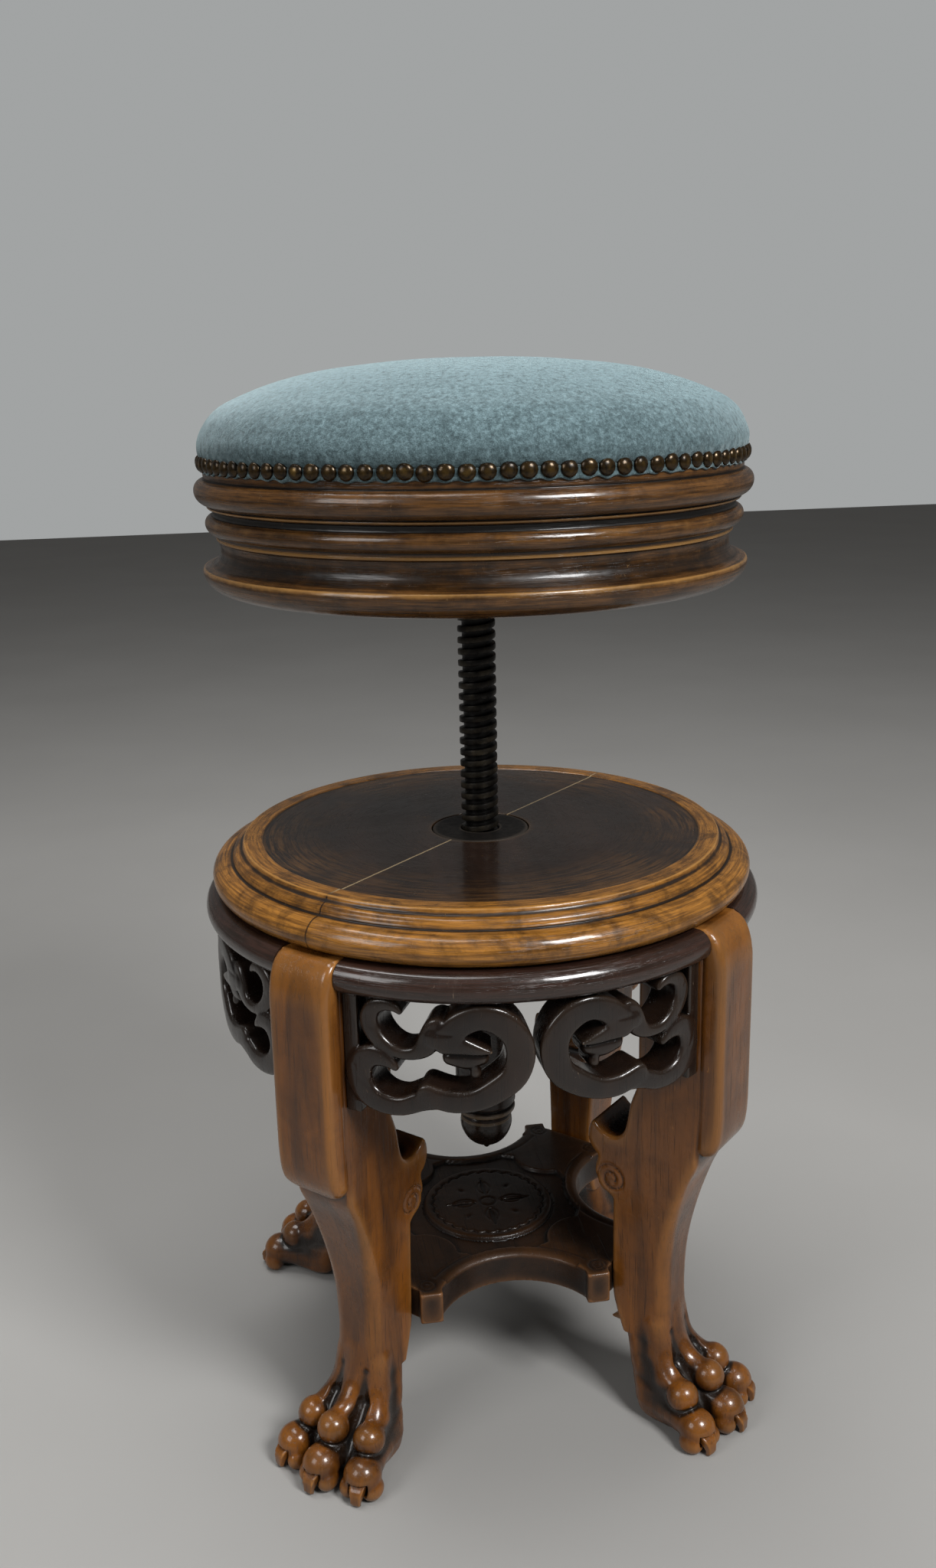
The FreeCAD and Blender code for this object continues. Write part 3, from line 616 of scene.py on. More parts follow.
def top_wood():
    """The round top: a dark field worn in rings, golden mouldings, and a pale line where the boards meet."""
    material, tree, surface, place = new_material("top_wood")
    relief = stored(tree, "relief")
    grain = use_group(tree, "turned_streaks", Vector=place)
    marks = use_group(tree, "handling", Vector=place, Relief=relief, Rub_Start=0.34, Wax_Start=0.02)
    radius = grain["Radius"]
    use = {name: marks[name] for name in ("Wax", "Scratches", "Mottle", "Smears")}
    use["Rubbed"] = maths(tree, "MULTIPLY", marks["Rubbed"], ramp(tree, radius, 0.036, 0.044))
    golden = blend_colours(tree, maths(tree, "MULTIPLY", grain["Figure"], 0.75), colour("a06c2c"), colour("341c0b"))
    golden = blend_colours(tree, maths(tree, "MULTIPLY", use["Mottle"], 0.7), golden, colour("1d0f07"))
    lay = laid(tree, place, (math.radians(90.0), 0.0, math.radians(TOP_JOINT_AZIMUTH)))
    board = use_group(tree, "wood_grain", Vector=lay, Figure_Scale=26.0)
    field = blend_colours(tree, board["Figure"], colour("1a120e"), colour("2a1d17"))
    near_rim = ramp(tree, radius, 0.085, 0.142)
    patch = ramp(tree, noise(tree, place, 9.0, 4.0, 0.6), 0.4, 0.68)
    worn = maths(tree, "MULTIPLY", maths(tree, "MULTIPLY", near_rim, patch), ramp(tree, grain["Figure"], 0.9, 0.1))
    field = blend_colours(tree, maths(tree, "MULTIPLY", worn, 0.7), field, colour("6a4a28"))
    tone = blend_colours(tree, ramp(tree, radius, 0.1452, 0.1462), field, golden)
    parts = put(tree, "ShaderNodeSeparateXYZ", {0: place}).outputs
    wander = maths(tree, "MULTIPLY", maths(tree, "SUBTRACT", noise(tree, place, 120.0, 3.0), 0.5), 0.0006)
    from_joint = maths(tree, "MULTIPLY", maths(tree, "SUBTRACT", parts[0], parts[1]), math.sqrt(0.5))
    across = maths(tree, "ABSOLUTE", maths(tree, "ADD", from_joint, wander))
    broken = ramp(tree, noise(tree, place, 60.0, 3.0), 0.25, 0.4)
    line = maths(tree, "MULTIPLY", ramp(tree, across, 0.0008, 0.0004), broken)
    tint = blend_colours(tree, ramp(tree, radius, 0.15, 0.158), colour("a08c6a"), colour("150a05"))
    tone = blend_colours(tree, maths(tree, "MULTIPLY", line, 0.85), tone, tint)
    finish_wood(tree, surface, place, tone, grain, use, colour("a87a40"), colour("0e0704"), 0.7, 0.18, 0.3, 0.6, 0.15)
    return material


def velvet_material():
    """Short pile that leans here and there: speckled in tone, with a painted sheen that makes it pale where it is seen
    along its surface, and painted shade where the nails draw it in.
    """
    material, tree, surface, place = new_material("velvet_pile")
    finish = bpy.context.scene.stool_finishes
    base = tuple(finish.velvet_colour) + (1.0,)
    deep = tuple(c * 0.5 for c in finish.velvet_colour) + (1.0,)
    pale = tuple(min(1.0, c * 2.3 + 0.03) for c in finish.velvet_colour) + (1.0,)
    lean = noise(tree, place, 22.0, 5.0, 0.6, 0.5)
    speck = noise(tree, place, 340.0, 5.0, 0.85)
    tufts = noise(tree, place, 1300.0, 2.0, 0.6)
    # Painted sheen: the facing weight makes the pile paler where it is seen at a grazing angle.
    edge = put(tree, "ShaderNodeLayerWeight", {"Blend": 0.3}).outputs["Facing"]
    tone = base
    for value, start, end, most, over in (
        (lean, 0.3, 0.75, 0.25, pale), (edge, 0.25, 0.9, 0.85, pale), (speck, 0.52, 0.36, 0.85, deep),
        # Painted shade: the stored relief darkens the velvet in the crease where the nails draw it in.
        (speck, 0.5, 0.64, 0.6, pale), (tufts, 0.45, 0.3, 0.6, deep), (stored(tree, "relief"), 0.0, -1.0, 0.8, deep),
    ):
        tone = blend_colours(tree, ramp(tree, value, start, end, 0.0, most), tone, over)
    height = maths(tree, "ADD", speck, maths(tree, "MULTIPLY", tufts, 0.6))
    feed(tree, surface.inputs, {
        "Base Color": tone, "Roughness": 0.9, "Specular IOR Level": 0.15, "Sheen Weight": 0.4,
        "Sheen Roughness": 0.35, "Sheen Tint": (0.78, 0.88, 0.89, 1.0), "Normal": bump(tree, height, 0.0006, 0.9),
    })
    return material


def metal_material(name, base, bare, dirt, gloss, metallic, rub=0.15):
    """Old metal: a dark skin, bare where it is rubbed, dirty in its hollows."""
    material, tree, surface, place = new_material(name)
    relief = stored(tree, "relief")
    use = use_group(tree, "handling", Vector=place, Relief=relief, Rub_Start=rub)
    speck = noise(tree, place, 260.0, 4.0, 0.65)
    tone = blend_colours(tree, ramp(tree, speck, 0.35, 0.7), base, dirt)
    tone = blend_colours(tree, use["Rubbed"], tone, bare)
    tone = blend_colours(tree, maths(tree, "MULTIPLY", use["Wax"], 0.85), tone, dirt)
    feed(tree, surface.inputs, {
        "Base Color": tone, "Roughness": maths(tree, "MULTIPLY_ADD", speck, 0.3, gloss), "Metallic": metallic,
        "Normal": bump(tree, speck, 0.0002, 0.5),
    })
    return material


def make_materials():
    """Every group and finish; each wood's colours are its dark, its middle, its rubbed tone, which also paints
    highlights on broad crests, and its tone for dark wax and painted shade in hollows.
    """
    wood_grain_group()
    turned_streaks_group()
    handling_group()
    finish = bpy.context.scene.stool_finishes
    golden = tuple(finish.wood_colour) + (1.0,)
    wood("leg_wood", colour("2e1808"), golden, colour("a8733a"), colour("0c0603"),
         start=0.5, wax=0.15, mottle=0.35, streak=0.85, rub=0.6, gloss=0.22, coat=0.35, figure=44.0)
    wood("ring_wood", colour("180c06"), colour("5f3f1e"), colour("9c7440"), colour("070402"), True,
         start=0.34, wax=0.0, gloss=0.16, rub=0.6, painted_crest_highlight=0.05)
    top_wood()
    wood("black_wood", colour("0d0806"), colour("20150f"), colour("7d6b58"), colour("040302"),
         start=0.6, wax=0.2, mottle=0.5, gloss=0.2, coat=0.35, rub=0.8, painted_crest_highlight=0.05)
    wood("rail_wood", colour("140b08"), colour("33201a"), colour("8d7963"), colour("050302"), True,
         start=0.5, wax=0.3, mottle=0.5, gloss=0.14, coat=0.5, rub=0.7, painted_crest_highlight=0.1)
    wood("dark_turning", colour("0e0906"), colour("2a1a10"), colour("7d6a55"), colour("040302"), True,
         start=0.3, mottle=0.5, gloss=0.2, coat=0.15, painted_crest_highlight=0.1)
    wood("shelf_wood", colour("120a05"), colour("2c1a0c"), colour("7a5230"), colour("050201"),
         turn=(math.radians(90.0), 0.0, 0.0), start=0.3, wax=0.04, gloss=0.34, coat=0.1)
    metal_material("old_brass", colour("3a2b14"), colour("7a6030"), colour("0f0a05"), 0.1, 0.6, 0.25)
    metal_material("dark_steel", colour("1a1714"), colour("5a5140"), colour("080706"), 0.26, 0.7)
    metal_material("black_iron", colour("1b1714"), colour("39332d"), colour("0c0a08"), 0.4, 0.5)
    velvet_material()


def dress(piece, material, body, slot, *nodes):
    """Gives a piece its material and body, and hides the nodes that it stands for; the slot is not used."""
    piece.data.materials.clear()
    piece.data.materials.append(bpy.data.materials[material])
    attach(piece, body)
    if nodes:
        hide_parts(*nodes)
    return piece


# Sizes and finishes that a user would change


class StoolSizes(bpy.types.PropertyGroup):
    nail_count: bpy.props.IntProperty(
        name="Nails", description="Nail heads round the seat", default=98, min=40, max=160)
    nail_radius: bpy.props.FloatProperty(
        name="Nail head", description="Radius of a nail head", default=0.0049, unit="LENGTH")
    thread_lead: bpy.props.FloatProperty(
        name="Thread lead", description="Rise of the screw in one turn", default=0.0075, unit="LENGTH")
    carving_cell: bpy.props.FloatProperty(
        name="Carving cell", description="Finest spacing of carved surfaces", default=0.0009, unit="LENGTH")


class StoolFinishes(bpy.types.PropertyGroup):
    velvet_colour: bpy.props.FloatVectorProperty(
        name="Velvet", description="Colour of the seat's pile", subtype="COLOR", size=3, default=colour("46575b")[:3])
    wood_colour: bpy.props.FloatVectorProperty(
        name="Wood", description="Polished wood of the legs", subtype="COLOR", size=3, default=colour("734313")[:3])


# Seat

# Cushion: voxel of its first mesh, height below which the nails pin it and most that it swells, in metres
PAD_VOXEL, PIN_HEIGHT, SWELL_CAP = 0.005, 0.6385, 0.0016
PAD_RADIUS = 174.3


def cushion_profile():
    """Crown of the seat from the photograph: nearly flat at the top, full at its edge, drawn in to the nails."""
    return through([
        (169.4, 636.4), (171.6, 639.6), (173.6, 643.4), (174.1, 647.0), (172.6, 652.6), (169.6, 658.2), (164.8, 663.6),
        (156.4, 669.6), (148.0, 673.6), (130.0, 680.4), (110.0, 686.0), (90.0, 689.8), (71.0, 692.0), (47.0, 694.2),
        (26.0, 695.2), (0.0, 695.5),
    ])


def swell(pad):
    """Swells the pad as cloth under pressure, pinned where the nails hold it; each vertex moves by the cap at most."""
    scene = bpy.context.scene
    before = vertices_of(pad.data)
    pins = pad.vertex_groups.new(name="nailed_edge")
    pins.add([int(i) for i in np.flatnonzero(before[:, 2] < PIN_HEIGHT)], 1.0, "REPLACE")
    cloth = pad.modifiers.new("stuffing", "CLOTH").settings
    cloth.use_pressure = True
    cloth.uniform_pressure_force = 4.0
    cloth.vertex_group_mass = "nailed_edge"
    cloth.tension_stiffness = 20.0
    cloth.compression_stiffness = 20.0
    cloth.effector_weights.gravity = 0.0
    for step in range(1, 21):
        scene.frame_set(step)
    bpy.ops.object.modifier_apply(modifier="stuffing")
    scene.frame_set(1)
    move = vertices_of(pad.data) - before
    length = np.linalg.norm(move, axis=1, keepdims=True)
    move *= np.minimum(1.0, SWELL_CAP / np.maximum(length, 1e-9))
    pad.data.vertices.foreach_set("co", (before + move).ravel())
    pad.vertex_groups.clear()


def plumped(points, nails):
    """The pad's points brought near its crown, with soft lumps at its side and a dent between two nails."""
    radius, angle = np.hypot(points[:, 0], points[:, 1]), np.arctan2(points[:, 1], points[:, 0])
    crown = spaced(cushion_profile(), 1.0)[::-1]
    crown = crown[np.argsort(crown[:, 0])]
    ease = np.clip((points[:, 2] - 655.0) / 12.0, 0.0, 1.0)
    points[:, 2] += ease * np.clip(np.interp(radius, crown[:, 0], crown[:, 1]) - points[:, 2], -3.0, 3.0) * 0.85
    height = points[:, 2]
    pull = np.exp(-((height - 640.5) / 3.2) ** 2) * (0.5 + 0.5 * np.cos(angle * nails)) * 1.1
    pull *= height > NAIL_ROW
    lumps = 0.35 * np.sin(angle * 3.0 + 0.6) + 0.25 * np.sin(angle * 7.0 + 2.1)
    lumps += 0.2 * np.sin(radius * 0.11 + angle * 2.0)
    side = np.clip((radius - 120.0) / 50.0, 0.0, 1.0)
    grow = lumps * side * np.clip((height - 640.0) / 6.0, 0.0, 1.0) - pull
    wider = np.where(radius > 1.0, np.minimum(radius + grow, PAD_RADIUS), radius)
    points[:, :2] *= (wider / np.maximum(radius, 1e-6))[:, None]
    return points


class STOOL_OT_cushion(bpy.types.Operator):
    """Velvet cushion: a crowned pad that is swollen as cloth, and the border that the nails hold down"""
    bl_idname = "stool.cushion"
    bl_label = "Velvet cushion"

    def execute(self, context):
        shell = cushion_profile()
        start = shell - np.array([0.8, 0.8]) * (shell[:, 1:] > 640.0)
        underside = [[(0.0, SEAT_EDGE_TOP)], [(160.0, SEAT_EDGE_TOP)]]
        pad = turned("seat_cushion_pad", underside + [start], 160, softness=0.6, step=4.0, turn=8.0)
        remesh = pad.modifiers.new("even", "REMESH")
        remesh.mode = "VOXEL"
        remesh.voxel_size = PAD_VOXEL
        context.view_layer.objects.active = pad
        bpy.ops.object.modifier_apply(modifier="even")
        swell(pad)
        finer = pad.modifiers.new("rounder", "SUBSURF")
        finer.levels = finer.render_levels = 1
        bpy.ops.object.modifier_apply(modifier="rounder")
        nails = context.scene.stool_sizes.nail_count
        points = plumped(vertices_of(pad.data).astype(float) / MM, nails)
        pad.data.vertices.foreach_set("co", (points * MM).astype(np.float32).ravel())
        # Painted shade: a dark band round the crease where the nails draw the velvet in.
        set_values(pad.data, "relief", -np.exp(-((points[:, 2] - 638.0) / 3.0) ** 2) * 0.9)
        pad.data.shade_smooth()
        cushion = merge("seat_cushion_pad", [pad, velvet_border(nails)])
        dress(cushion, "velvet_pile", "seat", "velvet", "seat_cushion", "seat_stuffing")
        return {"FINISHED"}


def velvet_border(nails):
    """Edge of the velvet under the nails: a thin ring whose foot dips and lifts between them."""
    columns = nails * 10
    a = np.linspace(0.0, TURN, columns, endpoint=False)
    draw = np.random.default_rng(7)
    wander = np.interp(a, np.linspace(0.0, TURN, 160), draw.normal(0.0, 0.45, 160), period=TURN)
    foot = 631.9 + wander + 0.5 * np.cos(a * nails)
    swell = 0.35 * (1.0 - np.cos(a * nails)) * 0.5
    flat = np.zeros(columns)
    rows = [
        (168.3, 636.8), (168.3, foot + 0.2), (168.9, foot), (169.5 + swell * 0.5, foot + 0.4),
        (169.6 + swell, foot + 1.6), (169.5 + swell * 0.6, 635.5), (169.3, 638.6), (168.3, 638.8),
    ]
    radius, height = (np.array([row[k] + flat for row in rows]) for k in (0, 1))
    points = np.stack([radius * np.cos(a), radius * np.sin(a), height], -1)
    # Painted shade: the border is darker where it tucks under and behind the nail heads.
    relief = np.repeat([-0.8, -0.5, 0.0, 0.0, 0.0, -0.8, -1.0, -1.0], columns)
    faces = grid_faces(len(rows), columns, True, True)
    return mesh_object("velvet_border", points.reshape(-1, 3), faces, relief, 0.0)


class STOOL_OT_nails(bpy.types.Operator):
    """Row of brass nail heads: each a low dome over a short rim, set a little unevenly"""
    bl_idname = "stool.nails"
    bl_label = "Nail heads"

    def execute(self, context):
        sizes = context.scene.stool_sizes
        count, head = sizes.nail_count, sizes.nail_radius / MM
        draw = np.random.default_rng(3)
        rings, spokes = 6, 14
        rise = np.array([-0.5, 0.3, 1.3, 2.3, 2.9, 3.1])
        reach = np.array([0.985, 1.0, 0.92, 0.7, 0.38, 0.0]) * head
        around = np.linspace(0.0, TURN, spokes, endpoint=False)
        out = np.repeat(rise, spokes)
        side = np.outer(reach, np.cos(around)).ravel()
        up = np.outer(reach, np.sin(around)).ravel()
        step = TURN / count
        azimuth = (np.arange(count) + 0.5) * step + draw.normal(0.0, 0.012, count) * step
        height = NAIL_ROW + draw.normal(0.0, 0.22, count)
        size = 1.0 + draw.normal(0.0, 0.02, count)
        tilt, swing = draw.normal(0.0, 0.05, count), draw.normal(0.0, 0.05, count)
        local_out = 169.2 + out[None] + up[None] * tilt[:, None] + side[None] * swing[:, None]
        local_side, local_up = side[None] * size[:, None], up[None] * size[:, None]
        c, s = np.cos(azimuth)[:, None], np.sin(azimuth)[:, None]
        x, y = local_out * c - local_side * s, local_out * s + local_side * c
        points = np.stack([x, y, height[:, None] + local_up], -1)
        faces = grid_faces(rings, spokes, close_columns=True)
        faces = (faces[None] + (np.arange(count) * rings * spokes)[:, None, None]).reshape(-1, 4)
        relief = np.tile(np.repeat([-0.6, -0.4, 0.0, 0.15, 0.3, 0.35], spokes), count)
        nails = mesh_object("brass_nail_heads", points.reshape(-1, 3), faces, relief, 0.0)
        close_ends(nails)
        nails.data.set_sharp_from_angle(angle=math.radians(70.0))
        dress(nails, "old_brass", "seat", "nail_brass", "upholstery_nails")
        return {"FINISHED"}


class STOOL_OT_seat_wood(bpy.types.Operator):
    """Turned seat frame and seat board"""
    bl_idname = "stool.seat_wood"
    bl_label = "Seat frame and board"

    def execute(self, context):
        ring = turned("seat_frame_ring", [
            [(142.0, SEAT_JOINT), (162.3, SEAT_JOINT)],
            bulge((162.6, 594.0), (163.9, 605.2), 5.4),
            [(163.6, 606.4), (163.8, 608.6)],
            bulge((164.6, 609.0), (166.4, 611.4), 1.6, 8),
            bulge((166.6, 612.0), (167.8, 627.4), 7.2, 20),
            [(168.2, 628.4), (168.3, 630.4), (168.2, SEAT_EDGE_TOP), (142.0, SEAT_EDGE_TOP)],
        ], 224, loop=True)
        dress(ring, "ring_wood", "seat", "worn_wood", "seat_frame")
        board = turned("seat_board_disc", [
            [(0.0, SEAT_UNDERSIDE), (154.6, SEAT_UNDERSIDE)],
            through([(156.0, 558.2), (162.0, 559.6), (167.0, 562.4), (170.2, 566.2), (171.6, 570.0)]),
            through([(171.7, 571.6), (171.0, 573.4), (169.2, 574.2)]),
            through([(168.6, 574.4), (164.2, 576.0), (160.8, 580.0), (160.0, 585.0), (161.2, 589.6)]),
            [(162.4, 590.4), (162.5, SEAT_JOINT), (0.0, SEAT_JOINT)],
        ], 224)
        dress(board, "ring_wood", "seat", "worn_wood", "seat_board")
        return {"FINISHED"}


class STOOL_OT_screw(bpy.types.Operator):
    """Lifting screw: one square thread, whose profile climbs by the lead in each turn, and its nut"""
    bl_idname = "stool.screw"
    bl_label = "Lifting screw and nut"

    def execute(self, context):
        lead = context.scene.stool_sizes.thread_lead / MM
        profile = np.array([
            (0.00, 9.7), (0.10, 9.6), (0.30, 9.6), (0.385, 9.75), (0.405, 10.3), (0.42, 11.9), (0.45, 12.3),
            (0.52, 12.45), (0.70, 12.5), (0.86, 12.45), (0.93, 12.3), (0.96, 11.9), (0.975, 10.3), (0.99, 9.8),
        ])
        top, foot, columns = 573.8, 345.2, 64
        turns = int((top - foot) / lead) + 3
        a = np.linspace(0.0, TURN, columns, endpoint=False)
        share = (np.arange(turns)[:, None] + profile[None, :, 0]).ravel()
        radius = np.tile(profile[:, 1], turns)
        height = foot - 2 * lead + (share[:, None] + a[None] / TURN) * lead
        wander = 0.06 * np.sin(height * 0.21) + 0.05 * np.sin(height * 0.57 + a[None] * 3.0)
        worn = radius[:, None] + wander * (radius[:, None] > 12.0) - 0.06
        points = np.stack([worn * np.cos(a), worn * np.sin(a), height], -1)
        rows, per = len(share), len(profile)
        index = np.arange(rows * columns).reshape(rows, columns)
        faces = grid_faces(rows, columns)
        seam = np.stack([index[:-per - 1, -1], index[per:-1, 0], index[per + 1:, 0], index[1:-per, -1]], -1)
        worn_to = np.interp(profile[:, 1], [9.6, 11.0, 12.5], [-0.7, 0.0, 0.22])
        relief = np.repeat(np.tile(worn_to, turns), columns)
        screw = mesh_object("lifting_screw", points.reshape(-1, 3), np.vstack([faces, seam]), relief, 30.0)
        work = bmesh.new()
        work.from_mesh(screw.data)
        for height_of_cut, direction in ((foot * MM, -1.0), (top * MM, 1.0)):
            everything = work.verts[:] + work.edges[:] + work.faces[:]
            bmesh.ops.bisect_plane(
                work, geom=everything, plane_co=(0, 0, height_of_cut), plane_no=(0, 0, direction),
                clear_outer=True)
        made = bmesh.ops.holes_fill(work, edges=[e for e in work.edges if e.is_boundary], sides=0)["faces"]
        bmesh.ops.triangulate(work, faces=made)
        bmesh.ops.recalc_face_normals(work, faces=work.faces)
        work.to_mesh(screw.data)
        work.free()
        dress(screw, "dark_steel", "seat", "screw_steel", "lift_screw")
        field = TOP_FACE - 0.8
        disc = turned("nut_disc", [
            [(12.56, 361.2), (19.0, 361.2), (19.0, field - 6.0), (32.2, field - 6.0)],
            [(32.3, field - 0.9)], [(31.7, field - 0.15), (30.5, field), (13.2, field), (12.56, field - 0.7)],
        ], 96, loop=True, softness=0.3)
        dress(disc, "black_iron", "base", "iron", "screw_nut")
        return {"FINISHED"}


# Base top


def top_profile():
    """Closed profile of the moulded top from the nut's recess out: torus, fillet, ogee, arris and sunk field."""
    field = TOP_FACE - 0.8
    return [
        [(32.9, TOP_UNDERSIDE), (168.0, TOP_UNDERSIDE)],
        bulge((168.6, 361.2), (168.6, 381.4), 10.8, 26),
        [(166.0, 381.5), (165.8, 382.9)],
        through([(165.4, 383.3), (164.6, 385.6), (162.6, 387.4), (160.4, 388.2), (159.2, 389.4), (158.8, 390.8)]),
        [(158.2, 391.8), (156.8, 392.0)],
        [(147.2, 392.0), (146.4, 391.9), (145.6, field), (32.9, field)],
    ]


class STOOL_OT_top(bpy.types.Operator):
    """Moulded round top in two boards, joined on a line from the front left to the back right leg"""
    bl_idname = "stool.top"
    bl_label = "Moulded top"

    def execute(self, context):
        for hand, start in (("left", TOP_JOINT_AZIMUTH), ("right", TOP_JOINT_AZIMUTH + 180.0)):
            half = part_turn("top_%s_half" % hand, top_profile(), start, start + 180.0, 161)
            dress(half, "top_wood", "base", "ebonised_wood", "top_board_" + hand)
        return {"FINISHED"}


class STOOL_OT_rails(bpy.types.Operator):
    """Half-round rails between the legs, under the top"""
    bl_idname = "stool.rails"
    bl_label = "Frieze rails"

    def execute(self, context):
        profile = [
            [(156.4, RAIL_FOOT), (175.0, RAIL_FOOT)],
            bulge((175.4, RAIL_FOOT), (175.4, TOP_UNDERSIDE - 0.1), 9.6, 22),
            [(156.4, TOP_UNDERSIDE - 0.1)],
        ]
        half = 45.0 - math.degrees(math.asin(LEG_HALF_WIDTH / 176.0)) + 0.15
        for side, azimuth in SIDES:
            rail = part_turn("rail_" + side, profile, azimuth - half, azimuth + half, 61)
            dress(rail, "rail_wood", "base", "ebonised_wood", side + "_frieze_rail")
        return {"FINISHED"}


class STOOL_OT_housing(bpy.types.Operator):
    """Turned column that hides the screw's lower end, and the drop under it"""
    bl_idname = "stool.housing"
    bl_label = "Screw housing and drop"

    def execute(self, context):
        column = turned("housing_column", [
            [(16.2, 182.0), (0.2, 182.0), (0.0, 176.3)],
            through([(17.9, 176.3), (17.0, 178.6), (16.2, 179.8)]), [(17.4, 180.4), (18.6, 180.8)],
            bulge((19.4, 181.0), (19.4, 185.6), 1.4, 10),
            [(18.8, 186.4), (20.4, 187.4), (21.0, 189.0), (21.0, 326.0)],
            through([(21.2, 330.0), (23.4, 341.0), (30.0, 348.6)]),
            [(44.4, 349.0), (45.0, 349.6), (45.0, 361.0), (16.2, 361.0)],
        ], 96, loop=True)
        dress(column, "dark_turning", "base", "ebonised_wood", "screw_housing")
        drop = turned("turned_drop", [
            [(0.0, 149.5), (1.2, 149.6)],
            through([
                (2.0, 150.6), (3.2, 152.2), (6.4, 154.0), (11.0, 156.8), (14.6, 160.6), (17.2, 165.6), (18.4, 171.0),
                (17.9, 176.2),
            ]),
            [(0.0, 176.2)],
        ], 96)
        dress(drop, "dark_turning", "base", "ebonised_wood", "drop_finial")
        return {"FINISHED"}


# Pierced aprons

# Straps of the right half: length along the face from the centre joint, height, half width
BIG_SCROLL = (
    (66, 284, 6.5), (52, 280, 7), (38, 281, 7), (25, 287, 8), (14, 296, 8.5), (10, 309, 8.8), (13, 321, 8.5),
    (22, 330, 8.4), (33, 333, 7.8), (44, 329.5, 8), (51, 323, 8.5), (54, 318, 8),
)
TONGUE = ((61, 319.5, 5.5), (52, 317, 6.2), (43, 315.2, 5), (35, 313.2, 3.4), (28, 311.6, 1.4))
EYE_LOBE = ((33, 306, 4.6), (42, 304.8, 6.2), (52, 306, 5))
DROP = ((37.5, 300, 2.6), (37, 296.4, 3.6))
UPPER_STRAP = (
    (56, 325.5, 6), (59.5, 324.5, 7.5), (63, 319, 7.4), (67, 313, 6), (73, 309.2, 4.4), (82, 308.4, 3.9),
    (91, 311.6, 4.5), (98.5, 318.5, 5.4), (101.5, 327, 5.8), (98.6, 334.6, 5.2), (91.5, 338, 4.2), (85, 337, 3.2), (81.6, 334.2, 1.8),
)
LOWER_STRAP = (
    (60, 281, 6.5), (70, 279, 6.5), (82, 274.6, 6.2), (94, 275, 6.8), (104, 280, 8), (109, 289.5, 8.4), (107, 299, 8),
    (100.5, 304.4, 7), (93, 304.2, 5.6), (87.4, 301, 3.4), (85, 298.4, 1.8),
)


def half_apron_distance(along, height, depth):
    """Distance to the right half of an apron laid flat: flat-faced straps with worn arrises that cross and curl.

    Each strap is its distance on the plane joined to its depth; the volute's lobe and drop lie lower."""
    flat_u, flat_v = along[:, :, 0], height[:, :, 0]
    field = None
    for path, face, soft in (
        (BIG_SCROLL, 12.0, 2.2), (TONGUE, 12.0, 1.8), (UPPER_STRAP, 10.8, 2.2), (LOWER_STRAP, 11.6, 2.4),
        (EYE_LOBE, 8.6, 4.2), (DROP, 8.0, 3.0),
    ):
        strap = strap_distance(flat_u, flat_v, through(path, 5))
        crown = 0.9 * np.clip(1.0 + strap / 9.0, 0.0, 1.0) ** 2
        out = np.maximum(depth - face + crown[..., None], -APRON_HALF_DEPTH - depth)
        form = slab(strap[..., None], out, soft)
        field = form if field is None else merged(field, form, 1.2)
    edge = np.maximum(np.abs(flat_u - 117.0) - 8.0, np.abs(flat_v - 303.5) - 38.0)[..., None]
    strip = slab(edge, np.maximum(depth - 9.0, -APRON_HALF_DEPTH - depth), 1.0)
    field = merged(field, strip, 1.5)
    for path, radius in (
        (((102, 331, 12.0), (100, 324, 12.2), (95, 322, 12.0)), 1.6),
        (((111, 298, 12.4), (108, 290, 12.6), (100, 284, 12.4)), 1.2),
        (((62, 323.4, 12.6), (50, 323.4, 13.0)), 1.3), (((38, 320.6, 12.6), (32, 318.6, 11.0)), 3.0),
    ):
        for start, end in zip(path, path[1:]):
            field = carved(field, finger((along, height, depth), start, end, radius, radius), 0.8)
    return field


class STOOL_OT_aprons(bpy.types.Operator):
    """Pierced scroll aprons in mirrored halves, carved flat and bent round the drum"""
    bl_idname = "stool.aprons"
    bl_label = "Pierced aprons"

    def execute(self, context):
        cell = context.scene.stool_sizes.carving_cell / MM
        spans = ((-7.0, 124.0, cell), (260.0, 344.6, cell), (-13.0, 13.4, cell * 1.15))
        axes = [axis_points(span) for span in spans]
        grid = np.meshgrid(*axes, indexing="ij")
        field = half_apron_distance(*grid)
        field = np.maximum(field, -0.05 - grid[0])
        field = np.maximum(field, grid[1] - RAIL_FOOT)
        field = np.maximum(field, grid[0] - 118.6)
        points, quads = carved_surface(field, axes)
        relief, hollow = relief_of(points, quads, 10)
        angle = points[:, 0] / APRON_R - math.pi / 2.0
        radius = APRON_R - APRON_HALF_DEPTH + points[:, 2]
        bent = np.stack([radius * np.cos(angle), radius * np.sin(angle), points[:, 1]], 1)
        quads = quads[:, ::-1]
        pattern = mesh_object("apron_pattern", bent, quads, relief, 0.0, hollow)
        for side, azimuth in SIDES:
            for hand, mirrored in (("right", False), ("left", True)):
                half = turned_copy(pattern, "scrolls_%s_%s" % (side, hand), azimuth - 270.0, mirrored)
                dress(half, "black_wood", "base", "ebonised_wood", "%s_apron_%s" % (side, hand))
        bpy.data.objects.remove(pattern)
        return {"FINISHED"}


# Legs

